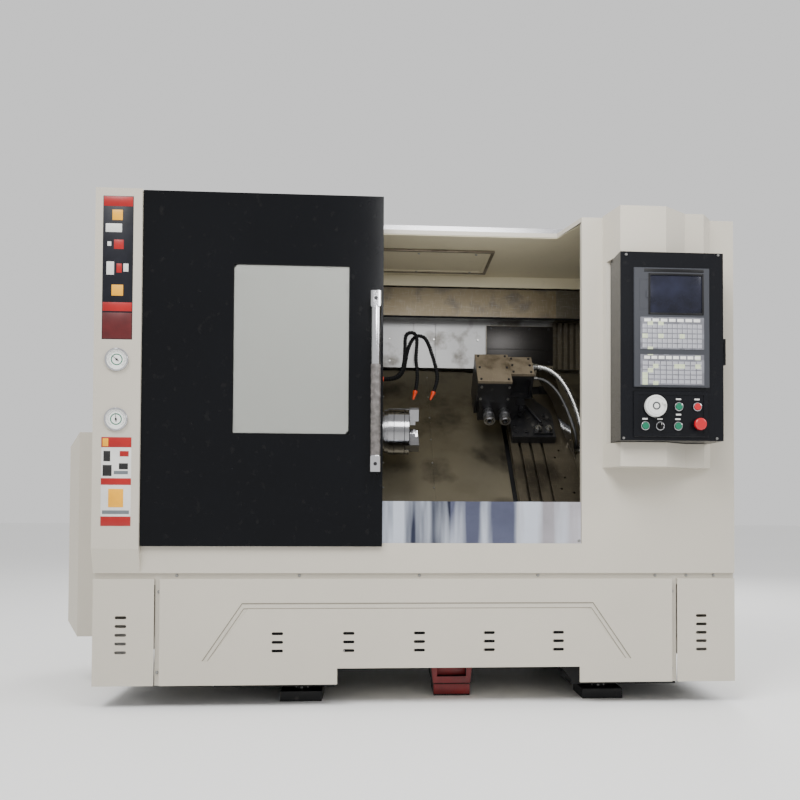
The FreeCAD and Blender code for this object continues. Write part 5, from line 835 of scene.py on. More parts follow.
class Repeater:
    """Tree that sets one small shape on every point of a layout."""

    def __init__(self, head: Head) -> None:
        """Builds the tree for one shape.

        Args:
            head: the shape.
        """
        self.head = head
        tree = Tree(f"repeat_{head.value}")
        self.tree = tree
        size = tree.ask("Size", "Vector")
        clock = tree.ask("Clocking", "Float")
        seed = tree.ask("Seed", "Int")
        scaled = tree.add("GeometryNodeTransform")
        tree.link(self.unit(), scaled.inputs["Geometry"])
        tree.link(size, scaled.inputs["Scale"])
        points = tree.add("GeometryNodeMeshToPoints")
        tree.link(tree.into.outputs["Geometry"], points.inputs["Mesh"])
        turn = tree.add("GeometryNodeInputNamedAttribute", data_type="FLOAT_VECTOR")
        turn.inputs["Name"].default_value = "turn"
        place = tree.add("GeometryNodeInstanceOnPoints")
        tree.link(points.outputs["Points"], place.inputs["Points"])
        tree.link(scaled.outputs["Geometry"], place.inputs["Instance"])
        tree.link(turn.outputs["Attribute"], place.inputs["Rotation"])
        chance = tree.add("FunctionNodeRandomValue", data_type="FLOAT")
        tree.link(clock, chance.inputs[3])
        tree.link(seed, chance.inputs["Seed"])
        spin = tree.add("ShaderNodeCombineXYZ")
        tree.link(chance.outputs[1], spin.inputs["Z"])
        rotate = tree.add("GeometryNodeRotateInstances")
        tree.link(place.outputs["Instances"], rotate.inputs["Instances"])
        tree.link(spin.outputs[0], rotate.inputs["Rotation"])
        tree.close(rotate.outputs["Instances"])

    def solid(self, kind: str, lift: float, **sizes: float) -> bpy.types.NodeSocket:
        """Primitive raised along Z.

        Args:
            kind: Cylinder, Cone or Cube.
            lift: height of its middle, or of a cone's foot.
            **sizes: its inputs by name, with underscores for spaces.

        Returns:
            Its geometry.
        """
        node = self.tree.add(f"GeometryNodeMesh{kind}")
        for key, value in sizes.items():
            node.inputs[key.replace("_", " ")].default_value = value
        move = self.tree.add("GeometryNodeTransform")
        move.inputs["Translation"].default_value = (0.0, 0.0, lift)
        self.tree.link(node.outputs["Mesh"], move.inputs["Geometry"])
        return move.outputs["Geometry"]

    def without(self, whole: bpy.types.NodeSocket, hole: bpy.types.NodeSocket) -> bpy.types.NodeSocket:
        """One solid less another."""
        node = self.tree.add("GeometryNodeMeshBoolean", operation="DIFFERENCE")
        self.tree.link(whole, node.inputs["Mesh 1"])
        self.tree.link(hole, node.inputs["Mesh 2"])
        return node.outputs["Mesh"]

    def joined(self, *solids: bpy.types.NodeSocket) -> bpy.types.NodeSocket:
        """Several solids together."""
        node = self.tree.add("GeometryNodeJoinGeometry")
        for solid in solids:
            self.tree.link(solid, node.inputs["Geometry"])
        return node.outputs["Geometry"]

    def unit(self) -> bpy.types.NodeSocket:
        """The shape at unit size: radius 1 and height 1, standing on its point."""
        if self.head is Head.PAN:
            dome = self.solid("Cone", 0.0, Vertices=16, Radius_Top=0.68, Radius_Bottom=1.0, Depth=1.0)
            slot = self.solid("Cube", 1.0, Vertices_X=2)
            shrink = self.tree.add("GeometryNodeTransform")
            shrink.inputs["Translation"].default_value = (0.0, 0.0, 0.35)
            shrink.inputs["Scale"].default_value = (1.1, 0.22, 0.9)
            self.tree.link(slot, shrink.inputs["Geometry"])
            return self.without(dome, shrink.outputs["Geometry"])
        if self.head is Head.SOCKET:
            drum = self.solid("Cylinder", 0.5, Vertices=20, Radius=1.0, Depth=1.0)
            key = self.solid("Cylinder", 0.95, Vertices=6, Radius=0.52, Depth=1.0)
            return self.without(drum, key)
        if self.head is Head.HEX:
            nut = self.solid("Cylinder", 0.3, Vertices=6, Radius=1.0, Depth=0.6)
            stud = self.solid("Cylinder", 0.5, Vertices=14, Radius=0.5, Depth=1.0)
            return self.joined(nut, stud)
        if self.head is Head.KEY:
            key = self.solid("Cone", 0.0, Vertices=4, Radius_Top=0.6, Radius_Bottom=0.7071, Depth=1.0)
            square = self.tree.add("GeometryNodeTransform")
            square.inputs["Rotation"].default_value = (0.0, 0.0, math.radians(45.0))
            self.tree.link(key, square.inputs["Geometry"])
            return square.outputs["Geometry"]
        if self.head is Head.BEAD:
            ball = self.solid("Cone", -0.5, Vertices=16, Radius_Top=0.98, Radius_Bottom=0.72, Depth=0.62)
            skirt = self.solid("Cone", 0.12, Vertices=16, Radius_Top=0.66, Radius_Bottom=0.98, Depth=0.5)
            return self.joined(ball, skirt)
        return self.solid("Cube", 0.5)

    def set_out(
        self, name: str, places: list[tuple[Point, Point]], size: Point, finish: Finish, body: str, slot: str,
        clocking: float = 0.0,
    ) -> bpy.types.Object:
        """Sets the shape on every place.

        Args:
            name: the piece's name.
            places: (point, Euler turn) of each.
            size: scale of the unit shape, in metres.
            finish: its finish.
            body: the body it rides on.
            slot: the record's material slot; not used.
            clocking: most that each turns about its own axis, in radians.

        Returns:
            The finished object.
        """
        layout = bpy.data.meshes.new(name + "_layout")
        layout.from_pydata([tuple(p) for p, _ in places], [], [])
        turn = layout.attributes.new("turn", "FLOAT_VECTOR", "POINT")
        turn.data.foreach_set("vector", [c for _, t in places for c in t])
        mesh = self.tree.run(
            layout, name, Size=tuple(size), Clocking=clocking, Seed=SEED, Material=finish.material()
        )
        return hang(name, mesh, body)


class TubeTree:
    """Tree that draws a ribbed tube along a line."""

    def __init__(self) -> None:
        """Builds the tree."""
        tree = Tree("ribbed_tube")
        self.tree = tree
        radius = tree.ask("Radius", "Float")
        depth = tree.ask("Rib Depth", "Float")
        pitch = tree.ask("Rib Pitch", "Float")
        curve = tree.add("GeometryNodeMeshToCurve")
        tree.link(tree.into.outputs["Geometry"], curve.inputs["Mesh"])
        step = tree.add("ShaderNodeMath", operation="MULTIPLY")
        step.inputs[1].default_value = 0.25
        tree.link(pitch, step.inputs[0])
        sample = tree.add("GeometryNodeResampleCurve", mode="LENGTH")
        tree.link(curve.outputs["Curve"], sample.inputs["Curve"])
        tree.link(step.outputs[0], sample.inputs["Length"])
        index = tree.add("GeometryNodeInputIndex")
        angle = tree.add("ShaderNodeMath", operation="MULTIPLY")
        angle.inputs[1].default_value = math.pi / 2
        tree.link(index.outputs[0], angle.inputs[0])
        wave = tree.add("ShaderNodeMath", operation="COSINE")
        tree.link(angle.outputs[0], wave.inputs[0])
        swell = tree.add("ShaderNodeMath", operation="MULTIPLY_ADD")
        tree.link(wave.outputs[0], swell.inputs[0])
        tree.link(depth, swell.inputs[1])
        tree.link(radius, swell.inputs[2])
        ring = tree.add("GeometryNodeCurvePrimitiveCircle")
        ring.inputs["Resolution"].default_value = 16
        ring.inputs["Radius"].default_value = 1.0
        skin = tree.add("GeometryNodeCurveToMesh")
        skin.inputs["Fill Caps"].default_value = True
        tree.link(sample.outputs["Curve"], skin.inputs["Curve"])
        tree.link(ring.outputs["Curve"], skin.inputs["Profile Curve"])
        tree.link(swell.outputs[0], skin.inputs["Scale"])
        tree.close(skin.outputs["Mesh"])

    def draw(
        self, line: bpy.types.Mesh, name: str, radius: float, depth: float, pitch: float,
        finish: Finish,
    ) -> bpy.types.Mesh:
        """Draws the tube along a line of edges.

        Args:
            line: the line.
            name: the mesh's name.
            radius: mean radius.
            depth: how far the ribs stand over it.
            pitch: from rib to rib.
            finish: its finish.

        Returns:
            The tube's mesh.
        """
        values = {"Radius": radius, "Rib Depth": depth, "Rib Pitch": pitch, "Material": finish.material()}
        return self.tree.run(line, name, **values)


def smooth_line(name: str, route: list[Vector]) -> bpy.types.Mesh:
    """Line of edges along the smooth curve of a route.

    Args:
        name: name of the curve.
        route: its control points.

    Returns:
        A mesh with the curve's own points.
    """
    data = bpy.data.curves.new(name, "CURVE")
    data.dimensions = "3D"
    spline = data.splines.new("NURBS")
    spline.points.add(len(route) - 1)
    for point, place in zip(spline.points, route):
        point.co = (*place, 1.0)
    spline.order_u = 3
    spline.use_endpoint_u = True
    data.resolution_u = 16
    carrier = bpy.data.objects.new(name, data)
    bpy.context.scene.collection.objects.link(carrier)
    graph = bpy.context.evaluated_depsgraph_get()
    line = bpy.data.meshes.new_from_object(carrier.evaluated_get(graph))
    bpy.data.objects.remove(carrier)
    return line


def facing(points: list[Point], way: Facing) -> list[tuple[Point, Point]]:
    """Places that all look one way.

    Args:
        points: the points.
        way: the way they look.

    Returns:
        (point, turn) pairs for a repeater.
    """
    turn = tuple(turn_to(Vector(way.value)))
    return [(tuple(p), turn) for p in points]


def spaced(first: float, last: float, count: int) -> list[float]:
    """Evenly spaced numbers from first to last."""
    return [first + (last - first) * i / (count - 1) for i in range(count)]


# ---------------------------------------------------------------- sub-assemblies
@dataclass
class Kit:
    """Repeaters shared by every sub-assembly."""

    pan: Repeater = field(default_factory=lambda: Repeater(Head.PAN))
    socket: Repeater = field(default_factory=lambda: Repeater(Head.SOCKET))
    hex: Repeater = field(default_factory=lambda: Repeater(Head.HEX))
    bar: Repeater = field(default_factory=lambda: Repeater(Head.BAR))
    key: Repeater = field(default_factory=lambda: Repeater(Head.KEY))
    bead: Repeater = field(default_factory=lambda: Repeater(Head.BEAD))
    tube: TubeTree = field(default_factory=TubeTree)


@dataclass
class Casing:
    """Painted sheet casing: its screws, louvres and colour plates."""

    kit: Kit
    screw: Point = (0.0055, 0.0055, 0.003)
    strip_x: tuple[float, ...] = (-0.692, -0.290, 0.111, 0.5145, 0.9205, 1.0295, 1.125)
    strip_z: float = 0.4375
    edge_screws: tuple[tuple[float, float], ...] = (
        (-0.750, 0.384), (-0.753, 0.119), (0.980, 0.383), (0.978, 0.1196),
    )
    channel_z: tuple[float, float] = (0.156, 0.337)
    channel_x: tuple[float, ...] = (-0.597, -0.474, 0.700, 0.825)
    slot_x: tuple[float, float] = (-0.341, 0.6026)

    def build(self) -> None:
        """Builds the casing's fittings."""
        places = facing([(x, STRIP_Y, self.strip_z) for x in self.strip_x], Facing.FRONT)
        places += facing([(x, STRIP_Y, z) for x, z in self.edge_screws], Facing.FRONT)
        self.kit.pan.set_out(
            "skirt_screws", places, self.screw, BRIGHT_SCREW, "machine", "machined_steel", math.tau,
        )
        self.wall_screws()
        self.louvres()
        self.colour_plates()
        self.channel_edges()
        self.slot_backs()

    def channel_edges(self) -> None:
        """Darker strips of painted shade along both edges of the pressed channel in the skirt."""
        foot, head = self.channel_z
        left, top_left, top_right, right = self.channel_x
        edges = Shape()
        for side, width in ((-0.010, 0.0036), (0.010, -0.0022)):
            lean_left = (top_left - left) / (head - foot)
            lean_right = (right - top_right) / (head - foot)
            outer, inner = side, side + width

            def row(offset: float) -> list[tuple[float, float]]:
                """Line of the channel at an offset from its middle."""
                return [
                    (left + offset, foot), (top_left + offset - offset * lean_left, head - offset),
                    (top_right - offset + offset * lean_right, head - offset), (right - offset, foot),
                ]
            one, two = row(outer), row(inner)
            for i in range(3):
                quad = [one[i], one[i + 1], two[i + 1], two[i]]
                edges.prism([(x, APRON_Y + 0.0003, z) for x, z in quad], (0.0, 0.0014, 0.0))
        edges.piece("skirt_channel_shade_strips", CHANNEL_SHADE, "machine", "cream_paint")

    def slot_backs(self) -> None:
        """Dark plates behind the ventilation slots of the skirt: painted shade in the slots."""
        backs = Shape()
        for x in spaced(self.slot_x[0], self.slot_x[1], 5):
            # Each dark plate is painted shade seen through a slot.
            backs.block((x - 0.034, APRON_Y + 0.0034, 0.172), (x + 0.034, APRON_Y + 0.0054, 0.272), 0.0008)
        backs.piece("slot_shade_backs", BLACK_RUBBER, "machine", "black_rubber")

    def wall_screws(self) -> None:
        """Screws along the seams of the side, rear and roof sheets."""
        low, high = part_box("side_walls")
        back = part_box("rear_wall")[1].y
        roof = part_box("roof_cover")[1].z
        levels = spaced(low.z + 0.06, high.z - 0.06, 5)
        depths = spaced(low.y + 0.08, high.y - 0.08, 4)
        places = facing([(low.x, y, high.z - 0.03) for y in depths], Facing.LEFT)
        places += facing([(low.x, high.y - 0.03, z) for z in levels], Facing.LEFT)
        places += facing([(x, back, z) for z in levels for x in (low.x + 0.03, high.x - 0.03)], Facing.BACK)
        places += facing([(x, back - 0.03, roof) for x in spaced(low.x + 0.06, high.x - 0.06, 8)], Facing.UP)
        self.kit.pan.set_out(
            "casing_screws", places, self.screw, BRIGHT_SCREW, "machine", "machined_steel",
            math.tau,
        )

    def louvres(self) -> None:
        """Hooded blades over the air slots of the right wall."""
        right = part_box("side_walls")[1].x
        turn = tuple(Euler((0.0, math.radians(-118.0), 0.0)))
        places = [((right - 0.002, 0.160, 1.180 + 0.030 * i + 0.012), turn) for i in range(8)]
        self.kit.bar.set_out("wall_louvres", places, (0.0015, 0.204, 0.016), PAINT, "machine", "cream_paint")

    def colour_plates(self) -> None:
        """Plain colour plates on the gauge column."""
        y = GAUGE_FACE_Y
        sheets = {
            "plate_upper_dark": (LABEL_DARK, [(-0.935, 1.212, -0.837, 1.686)]),
            "plate_upper_red": (LABEL_RED, [
                (-0.933, 1.652, -0.839, 1.684), (-0.933, 1.305, -0.839, 1.334),
                (-0.899, 1.510, -0.868, 1.541), (-0.890, 1.432, -0.873, 1.462),
            ]),
            "plate_upper_deep": (LABEL_DEEP_RED, [(-0.933, 1.214, -0.839, 1.300)]),
            "plate_upper_white": (LABEL_WHITE, [
                (-0.926, 1.566, -0.874, 1.594), (-0.922, 1.425, -0.898, 1.468),
                (-0.868, 1.436, -0.852, 1.462),
                (-0.920, 1.520, -0.908, 1.534),
            ]),
            "plate_upper_yellow": (
                LABEL_YELLOW, [(-0.905, 1.606, -0.872, 1.640), (-0.905, 1.356, -0.868, 1.392)],
            ),
            "plate_lower_white": (LABEL_WHITE, [(-0.931, 0.601, -0.835, 0.891)]),
            "plate_lower_red": (LABEL_RED, [
                (-0.931, 0.858, -0.835, 0.891), (-0.931, 0.735, -0.835, 0.757),
                (-0.931, 0.601, -0.835, 0.632),
                (-0.872, 0.828, -0.843, 0.846),
            ]),
            "plate_lower_dark": (INK_BLACK, [
                (-0.924, 0.812, -0.902, 0.846), (-0.926, 0.764, -0.897, 0.800),
                (-0.874, 0.786, -0.845, 0.806),
            ]),
            "plate_lower_grey": (
                LABEL_GREY, [(-0.890, 0.770, -0.845, 0.781), (-0.926, 0.640, -0.840, 0.652)],
            ),
            "plate_lower_yellow": (
                LABEL_YELLOW, [(-0.907, 0.662, -0.859, 0.722), (-0.927, 0.861, -0.909, 0.887)],
            ),
        }
        for order, (name, (finish, fields)) in enumerate(sheets.items()):
            shape = Shape()
            lift = 0.0004 if name.endswith(("upper_dark", "lower_white")) else 0.0006 + 0.00005 * order
            for x0, z0, x1, z1 in fields:
                shape.block((x0, y - lift, z0), (x1, y + 0.0002, z1), 0.00012)
            shape.piece(name, finish, "machine", "cream_paint")


@dataclass
class Gauge:
    """Round pressure gauge: dial, ticks, needle, scale band and rim."""

    kit: Kit
    name: str
    z: float
    needle_deg: float
    x: float = -0.8845
    radius: float = 0.0325
    face_y: float = GAUGE_FACE_Y - 0.003

    def build(self) -> None:
        """Builds the gauge."""
        y = self.face_y
        front = Facing.FRONT.value
        dial = Shape().lathe((self.x, y, self.z), front, [(0.0, self.radius), (0.0006, self.radius)])
        dial.piece(f"{self.name}_dial", DIAL_WHITE, "machine", "chrome")
        ticks = []
        for i in range(28):
            angle = math.radians(225.0 - 270.0 * i / 27)
            reach = self.radius * (0.82 if i % 3 else 0.78)
            point = (self.x + reach * math.cos(angle), y - 0.0005, self.z + reach * math.sin(angle))
            turn = (
                Matrix.Rotation(-angle, 3, "Y") @ Euler((math.radians(90.0), 0.0, 0.0)).to_matrix()
            ).to_euler()
            ticks.append((point, tuple(turn)))
        size = (0.0052, 0.0009, 0.0004)
        self.kit.bar.set_out(f"{self.name}_ticks", ticks, size, INK_BLACK, "machine", "chrome")
        angle = math.radians(self.needle_deg)
        along = Vector((math.cos(angle), 0.0, math.sin(angle)))
        side = Vector((-along.z, 0.0, along.x))
        hub = Vector((self.x, y - 0.0014, self.z))
        outline = [
            hub - along * 0.008 + side * 0.0016, hub + along * 0.024,
            hub - along * 0.008 - side * 0.0016,
        ]
        needle = Shape().prism([tuple(p) for p in outline], (0.0, -0.0006, 0.0))
        needle.lathe(
            tuple(hub + Vector((0, 0.0005, 0))), front,
            [(0.0, 0.0035), (0.0015, 0.0035), (0.002, 0.002)], 20,
        )
        needle.piece(f"{self.name}_needle", INK_BLACK, "machine", "chrome")
        band = Shape().loop((self.x, y - 0.0006, self.z), front, [
            (0.0, 0.0155), (0.0, 0.019), (0.0002, 0.019), (0.0002, 0.0155),
        ])
        band.piece(f"{self.name}_scale_band", GREEN_PLASTIC, "machine", "chrome")
        rim = Shape().loop((self.x, GAUGE_FACE_Y - 0.0035, self.z), front, [
            (0.0, 0.0325), (0.0, 0.0372), (0.0022, 0.0376), (0.0042, 0.0358), (0.0042, 0.0335),
            (0.0030, 0.0325),
        ], 56)
        rim.piece(f"{self.name}_rim", CHROME, "machine", "chrome")


@dataclass
class SlidingDoor:
    """Black sliding door: filmed window, gasket, handle wrap and screws."""

    kit: Kit

    def build(self) -> None:
        """Builds the door's fittings."""
        low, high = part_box("door_window")
        edge = 0.0125
        x0, x1, z0, z1 = low.x + edge, high.x - edge, low.z + edge, high.z - edge
        y = low.y
        film = Shape()
        columns = spaced(x0, x1, 26)
        rows = spaced(z0, z1, 38)
        grid = []
        for i, x in enumerate(columns):
            line = []
            for j, z in enumerate(rows):
                inner = 0 < i < len(columns) - 1 and 0 < j < len(rows) - 1
                ripple = 0.00035 * math.sin(
                    17.0 * x + 9.0 * z
                ) * math.sin(23.0 * z - 5.0 * x) if inner else 0.0
                line.append(film.bm.verts.new((x, y - 0.0009 - ripple, z)))
            grid.append(line)
        for i in range(len(columns) - 1):
            for j in range(len(rows) - 1):
                film.bm.faces.new((grid[i][j], grid[i + 1][j], grid[i + 1][j + 1], grid[i][j + 1]))
        bmesh.ops.solidify(film.bm, geom=film.bm.faces[:], thickness=0.0003)
        film.piece("window_film", WINDOW_FILM, "door", "hazed_glass")
        self.gasket(x0, x1, z0, z1)
        self.handle()

    def gasket(self, x0: float, x1: float, z0: float, z1: float) -> None:
        """Thin rubber lip round the window.

        Args:
            x0, x1: sides of the window.
            z0, z1: foot and head of the window.
        """
        t = 0.0022
        y0, y1 = DOOR_Y - 0.0006, DOOR_Y + 0.003
        shape = Shape()
        for low, high in (
            ((x0 - 0.0005, y0, z0), (x0 + t, y1, z1)), ((x1 - t, y0, z0), (x1 + 0.0005, y1, z1)),
            ((x0, y0, z0 - 0.0005), (x1, y1, z0 + t)), ((x0, y0, z1 - t), (x1, y1, z1 + 0.0005)),
        ):
            shape.block(low, high, 0.0004)
        shape.piece("window_gasket", BLACK_RUBBER, "door", "black_rubber")

    def handle(self) -> None:
        """Film wrapped round the lower half of the handle, and screws in its blocks."""
        low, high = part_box("door_handle")
        x = (low.x + high.x) / 2
        y = low.y + 0.018
        profile = []
        steps = 64
        for i in range(steps + 1):
            share = i / steps
            crease = 0.0006 * math.sin(41.0 * share) + 0.0004 * math.sin(97.0 * share + 1.0)
            profile.append((share * 0.300, 0.0158 + abs(crease)))
        profile = [(0.0, 0.0151)] + profile + [(0.300, 0.0151)]
        wrap = Shape().loop((x, y, low.z + 0.053), Facing.UP.value, profile)
        wrap.piece("handle_wrap", CLEAR_WRAP, "door", "chrome")
        places = facing([(x, low.y, z) for z in (low.z + 0.026, high.z - 0.026)], Facing.FRONT)
        self.kit.socket.set_out(
            "handle_screws", places, (0.006, 0.006, 0.0004), BLACK_SCREW, "door", "chrome",
        )
        caps = Shape()
        for z in (low.z + 0.051, high.z - 0.051 - 0.003):
            caps.loop((x, y, z), Facing.UP.value, [
                (0.0, 0.0151), (0.0, 0.0178), (0.003, 0.0172), (0.003, 0.0151),
            ])
        caps.piece("handle_collars", CHROME, "door", "chrome")


@dataclass
class Console:
    """Operator's console: keys, legends, handwheel marks, screws and screen frame."""

    kit: Kit
    left: float = 0.753

    def build(self) -> None:
        """Builds the console's fittings."""
        corners = [
            (0.7717, PANEL_Y, 1.4913), (1.0777, PANEL_Y, 1.4954), (0.7627, PANEL_Y, 0.893),
            (1.0721, PANEL_Y, 0.8941),
        ]
        self.kit.socket.set_out(
            "console_screws", facing(corners, Facing.FRONT), (0.0042, 0.0042, 0.0032), BRIGHT_SCREW,
            "console",
            "machined_steel", math.tau,
        )
        self.keys()
        self.screen()
        self.legends()
        self.wheel()

    def keys(self) -> None:
        """Raised keys of the two keypads."""
        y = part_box("screen_and_keypads")[0].y
        left, right = self.left + 0.063, self.left + 0.274
        for name, foot, height, soft, rows, columns in (
            ("keys_lower", 1.066, 0.099, 8, 5, 10), ("keys_upper", 1.182, 0.1045, 7, 5, 12),
        ):
            margin = 0.006
            row = (height - 0.018 - margin) / rows
            width = (right - left - 2 * margin) / columns
            points = [
                (left + margin + width * (i + 0.5), y, foot + margin / 2 + row * (j + 0.5))
                for i in range(columns) for j in range(rows)
            ]
            size = (width * 0.84, row * 0.80, 0.0007)
            self.kit.key.set_out(name, facing(points, Facing.FRONT), size, KEY_FILM, "console", "key_film")
            pitch = (right - left - 0.02) / soft
            points = [(left + 0.01 + pitch * (i + 0.5), y, foot + height - 0.010) for i in range(soft)]
            self.kit.key.set_out(
                f"{name}_soft", facing(points, Facing.FRONT), (pitch * 0.78, 0.010, 0.0009),
                WHITE_PLASTIC, "console",
                "key_film",
            )

    def screen(self) -> None:
        """Frame round the screen, its glass and a plain strip over it."""
        x0, x1 = self.left + 0.096, self.left + 0.2675
        z0, z1 = 1.301, 1.424
        frame_width = 0.006
        y0 = UNIT_Y - 0.0016
        rim = Shape()
        for low, high in (
            ((x0 - frame_width, y0, z0 - frame_width), (x0, UNIT_Y + 0.0002, z1 + frame_width)),
            ((x1, y0, z0 - frame_width), (x1 + frame_width, UNIT_Y + 0.0002, z1 + frame_width)),
            ((x0, y0, z0 - frame_width), (x1, UNIT_Y + 0.0002, z0)),
            ((x0, y0, z1), (x1, UNIT_Y + 0.0002, z1 + frame_width)),
        ):
            rim.block(low, high, 0.0006)
        rim.piece("screen_frame", BLACK_PLASTIC, "console", "black_plastic")
        glass = Shape().block(
            (x0 + 0.0004, UNIT_Y + 0.0012, z0 + 0.0004),
            (x1 - 0.0004, UNIT_Y + 0.0031, z1 - 0.0004), 0.0003,
        )
        glass.piece("screen_glass", SCREEN_GLASS, "console", "black_panel")
        strip = Shape().block(
            (x0 - 0.02, UNIT_Y - 0.0007, 1.4345), (x1 + 0.006, UNIT_Y + 0.0001, 1.4445), 0.0002,
        )
        strip.piece("unit_strip", BLACK_PLASTIC, "console", "black_plastic")

    def legends(self) -> None:
        """Blank legend plates over the push buttons and rings round them."""
        plates = [
            (0.1905, 1.0205), (0.252, 1.0205), (0.0795, 0.9555), (0.1285, 0.9555), (0.188, 0.9555),
            (0.1905, 0.9705),
        ]
        points = [(self.left + x, BUTTON_Y, z) for x, z in plates]
        self.kit.key.set_out(
            "legend_plates", facing(points, Facing.FRONT), (0.017, 0.005, 0.0005), LABEL_WHITE,
            "console", "key_film",
        )
        rings = Shape()
        for x, z in ((0.1905, 0.996), (0.252, 0.996), (0.0795, 0.9325), (0.188, 0.9325), (0.1285, 0.9325)):
            rings.loop((self.left + x, BUTTON_Y - 0.004, z), Facing.FRONT.value, [
                (0.0, 0.0116), (0.0, 0.0144), (0.0010, 0.0138), (0.0014, 0.0124), (0.0010, 0.0116),
            ])
        rings.piece("button_rings", CHROME, "console", "chrome")
        mark = Shape().block(
            (self.left + 0.1279, -0.7354, 0.9345), (self.left + 0.1291, -0.7349, 0.9415), 0.0001,
        )
        mark.piece("selector_mark", LABEL_WHITE, "selector", "key_film")

    def wheel(self) -> None:
        """Grip ribs, scale ticks and hub of the handwheel."""
        x, z = self.left + 0.1105, 0.996
        front = BUTTON_Y - 0.0045 - 0.017
        ribs, ticks = [], []
        for i in range(60):
            angle = math.tau * i / 60
            out = Vector((math.cos(angle), 0.0, math.sin(angle)))
            ribs.append((tuple(Vector((x, front + 0.0095, z)) + out * 0.0346), tuple(turn_to(out))))
        size = (0.0016, 0.011, 0.0010)
        self.kit.bar.set_out(
            "handwheel_grip", self.along_y(ribs), size, WHITE_PLASTIC, "wheel", "grey_plastic",
        )
        for i in range(50):
            angle = math.tau * i / 50
            reach = 0.0285
            point = (x + reach * math.cos(angle), front + 0.0001, z + reach * math.sin(angle))
            turn = (
                Matrix.Rotation(-angle, 3, "Y") @ Euler((math.radians(90.0), 0.0, 0.0)).to_matrix()
            ).to_euler()
            ticks.append((point, tuple(turn)))
        self.kit.bar.set_out(
            "handwheel_scale", ticks, (0.004, 0.0006, 0.0003), INK_BLACK, "wheel", "black_plastic",
        )
        hub = Shape().loop((x, front, z), Facing.FRONT.value, [
            (0.0, 0.013), (0.0012, 0.0125), (0.0012, 0.009), (0.0, 0.0085),
        ])
        hub.piece("handwheel_hub_ring", CONTROL_GREY, "wheel", "grey_plastic")

    @staticmethod
    def along_y(places: list[tuple[Point, Point]]) -> list[tuple[Point, Point]]:
        """Turns bars that stand outwards so that their second side lies along Y."""
        made = []
        for point, turn in places:
            out = Euler(turn).to_matrix() @ Vector((0.0, 0.0, 1.0))
            side = Vector((0.0, 1.0, 0.0)).cross(out)
            basis = Matrix((side, Vector((0.0, 1.0, 0.0)), out)).transposed()
            made.append((point, tuple(basis.to_euler())))
        return made


@dataclass
class Chuck:
    """Power chuck: bolts, jaw screws, serrations and the collar in its bore."""

    kit: Kit
    face_x: float = NOSE_X + 0.091
    angles: tuple[float, ...] = (20.0, 140.0, 260.0)
    bodies: tuple[str, ...] = ("jaw_a", "jaw_b", "jaw_c")

    def around(self, x: float, radius: float, degrees: float) -> Vector:
        """Point round the spindle axis; degrees are from upright towards the front."""
        centre = slope(x, 0.0, AXIS_N)
        angle = math.radians(degrees)
        return centre + Vector((0.0, -math.sin(angle), math.cos(angle))) * radius

    def build(self) -> None:
        """Builds the chuck's fittings."""
        points = [self.around(self.face_x, 0.066, a + 60.0 + d) for a in self.angles for d in (-17.0, 17.0)]
        self.kit.socket.set_out(
            "chuck_bolts", facing(points, Facing.RIGHT), (0.0065, 0.0065, 0.002), BLACK_SCREW, "spindle",
            "machined_steel", math.tau,
        )
        axis = slope(self.face_x, 0.0, AXIS_N)
        collar = Shape().loop(tuple(axis), Facing.RIGHT.value, [
            (-0.004, 0.0226), (0.0, 0.0252), (0.0015, 0.0252), (0.0022, 0.0245), (0.0022, 0.0226),
        ], 56)
        collar.piece("chuck_bore_collar", TURNED, "spindle", "machined_steel")
        # The two dark bands on the rim are painted shade in the chuck's grooves.
        groove_shade = Shape()
        for back in (0.018, 0.056):
            groove_shade.loop(tuple(slope(self.face_x - back, 0.0, AXIS_N)), Facing.RIGHT.value, [
                (-0.0012, 0.0842), (-0.0008, 0.0849), (0.0008, 0.0849), (0.0012, 0.0842),
            ], 96)
        groove_shade.piece("chuck_rim_groove_shade", BLACK_SCREW, "spindle", "machined_steel")
        for body, angle in zip(self.bodies, self.angles):
            self.jaw(body, angle)

    def jaw(self, body: str, angle: float) -> None:
        """Screws and grip serrations of one jaw.

        Args:
            body: the jaw's body.
            angle: the jaw's angle from upright, in degrees.
        """
        points = [self.around(self.face_x + 0.0125, r, angle) for r in (0.054, 0.073)]
        self.kit.socket.set_out(
            f"{body}_screws", facing(points, Facing.RIGHT), (0.0072, 0.0072, 0.011), BLACK_SCREW, body,
            "machined_steel", math.tau,
        )
        outward = (self.around(0.0, 1.0, angle) - self.around(0.0, 0.0, angle)).normalized()
        side = Vector((1.0, 0.0, 0.0)).cross(outward)
        basis = Matrix((side, Vector((1.0, 0.0, 0.0)), outward)).transposed().to_euler()
        places = []
        for i in range(7):
            point = self.around(self.face_x + 0.0035 + 0.0028 * i, 0.0288, angle)
            places.append((tuple(point), tuple(basis)))
        self.kit.bar.set_out(
            f"{body}_serrations", places, (0.030, 0.0012, 0.0012), TURNED, body, "machined_steel",
        )


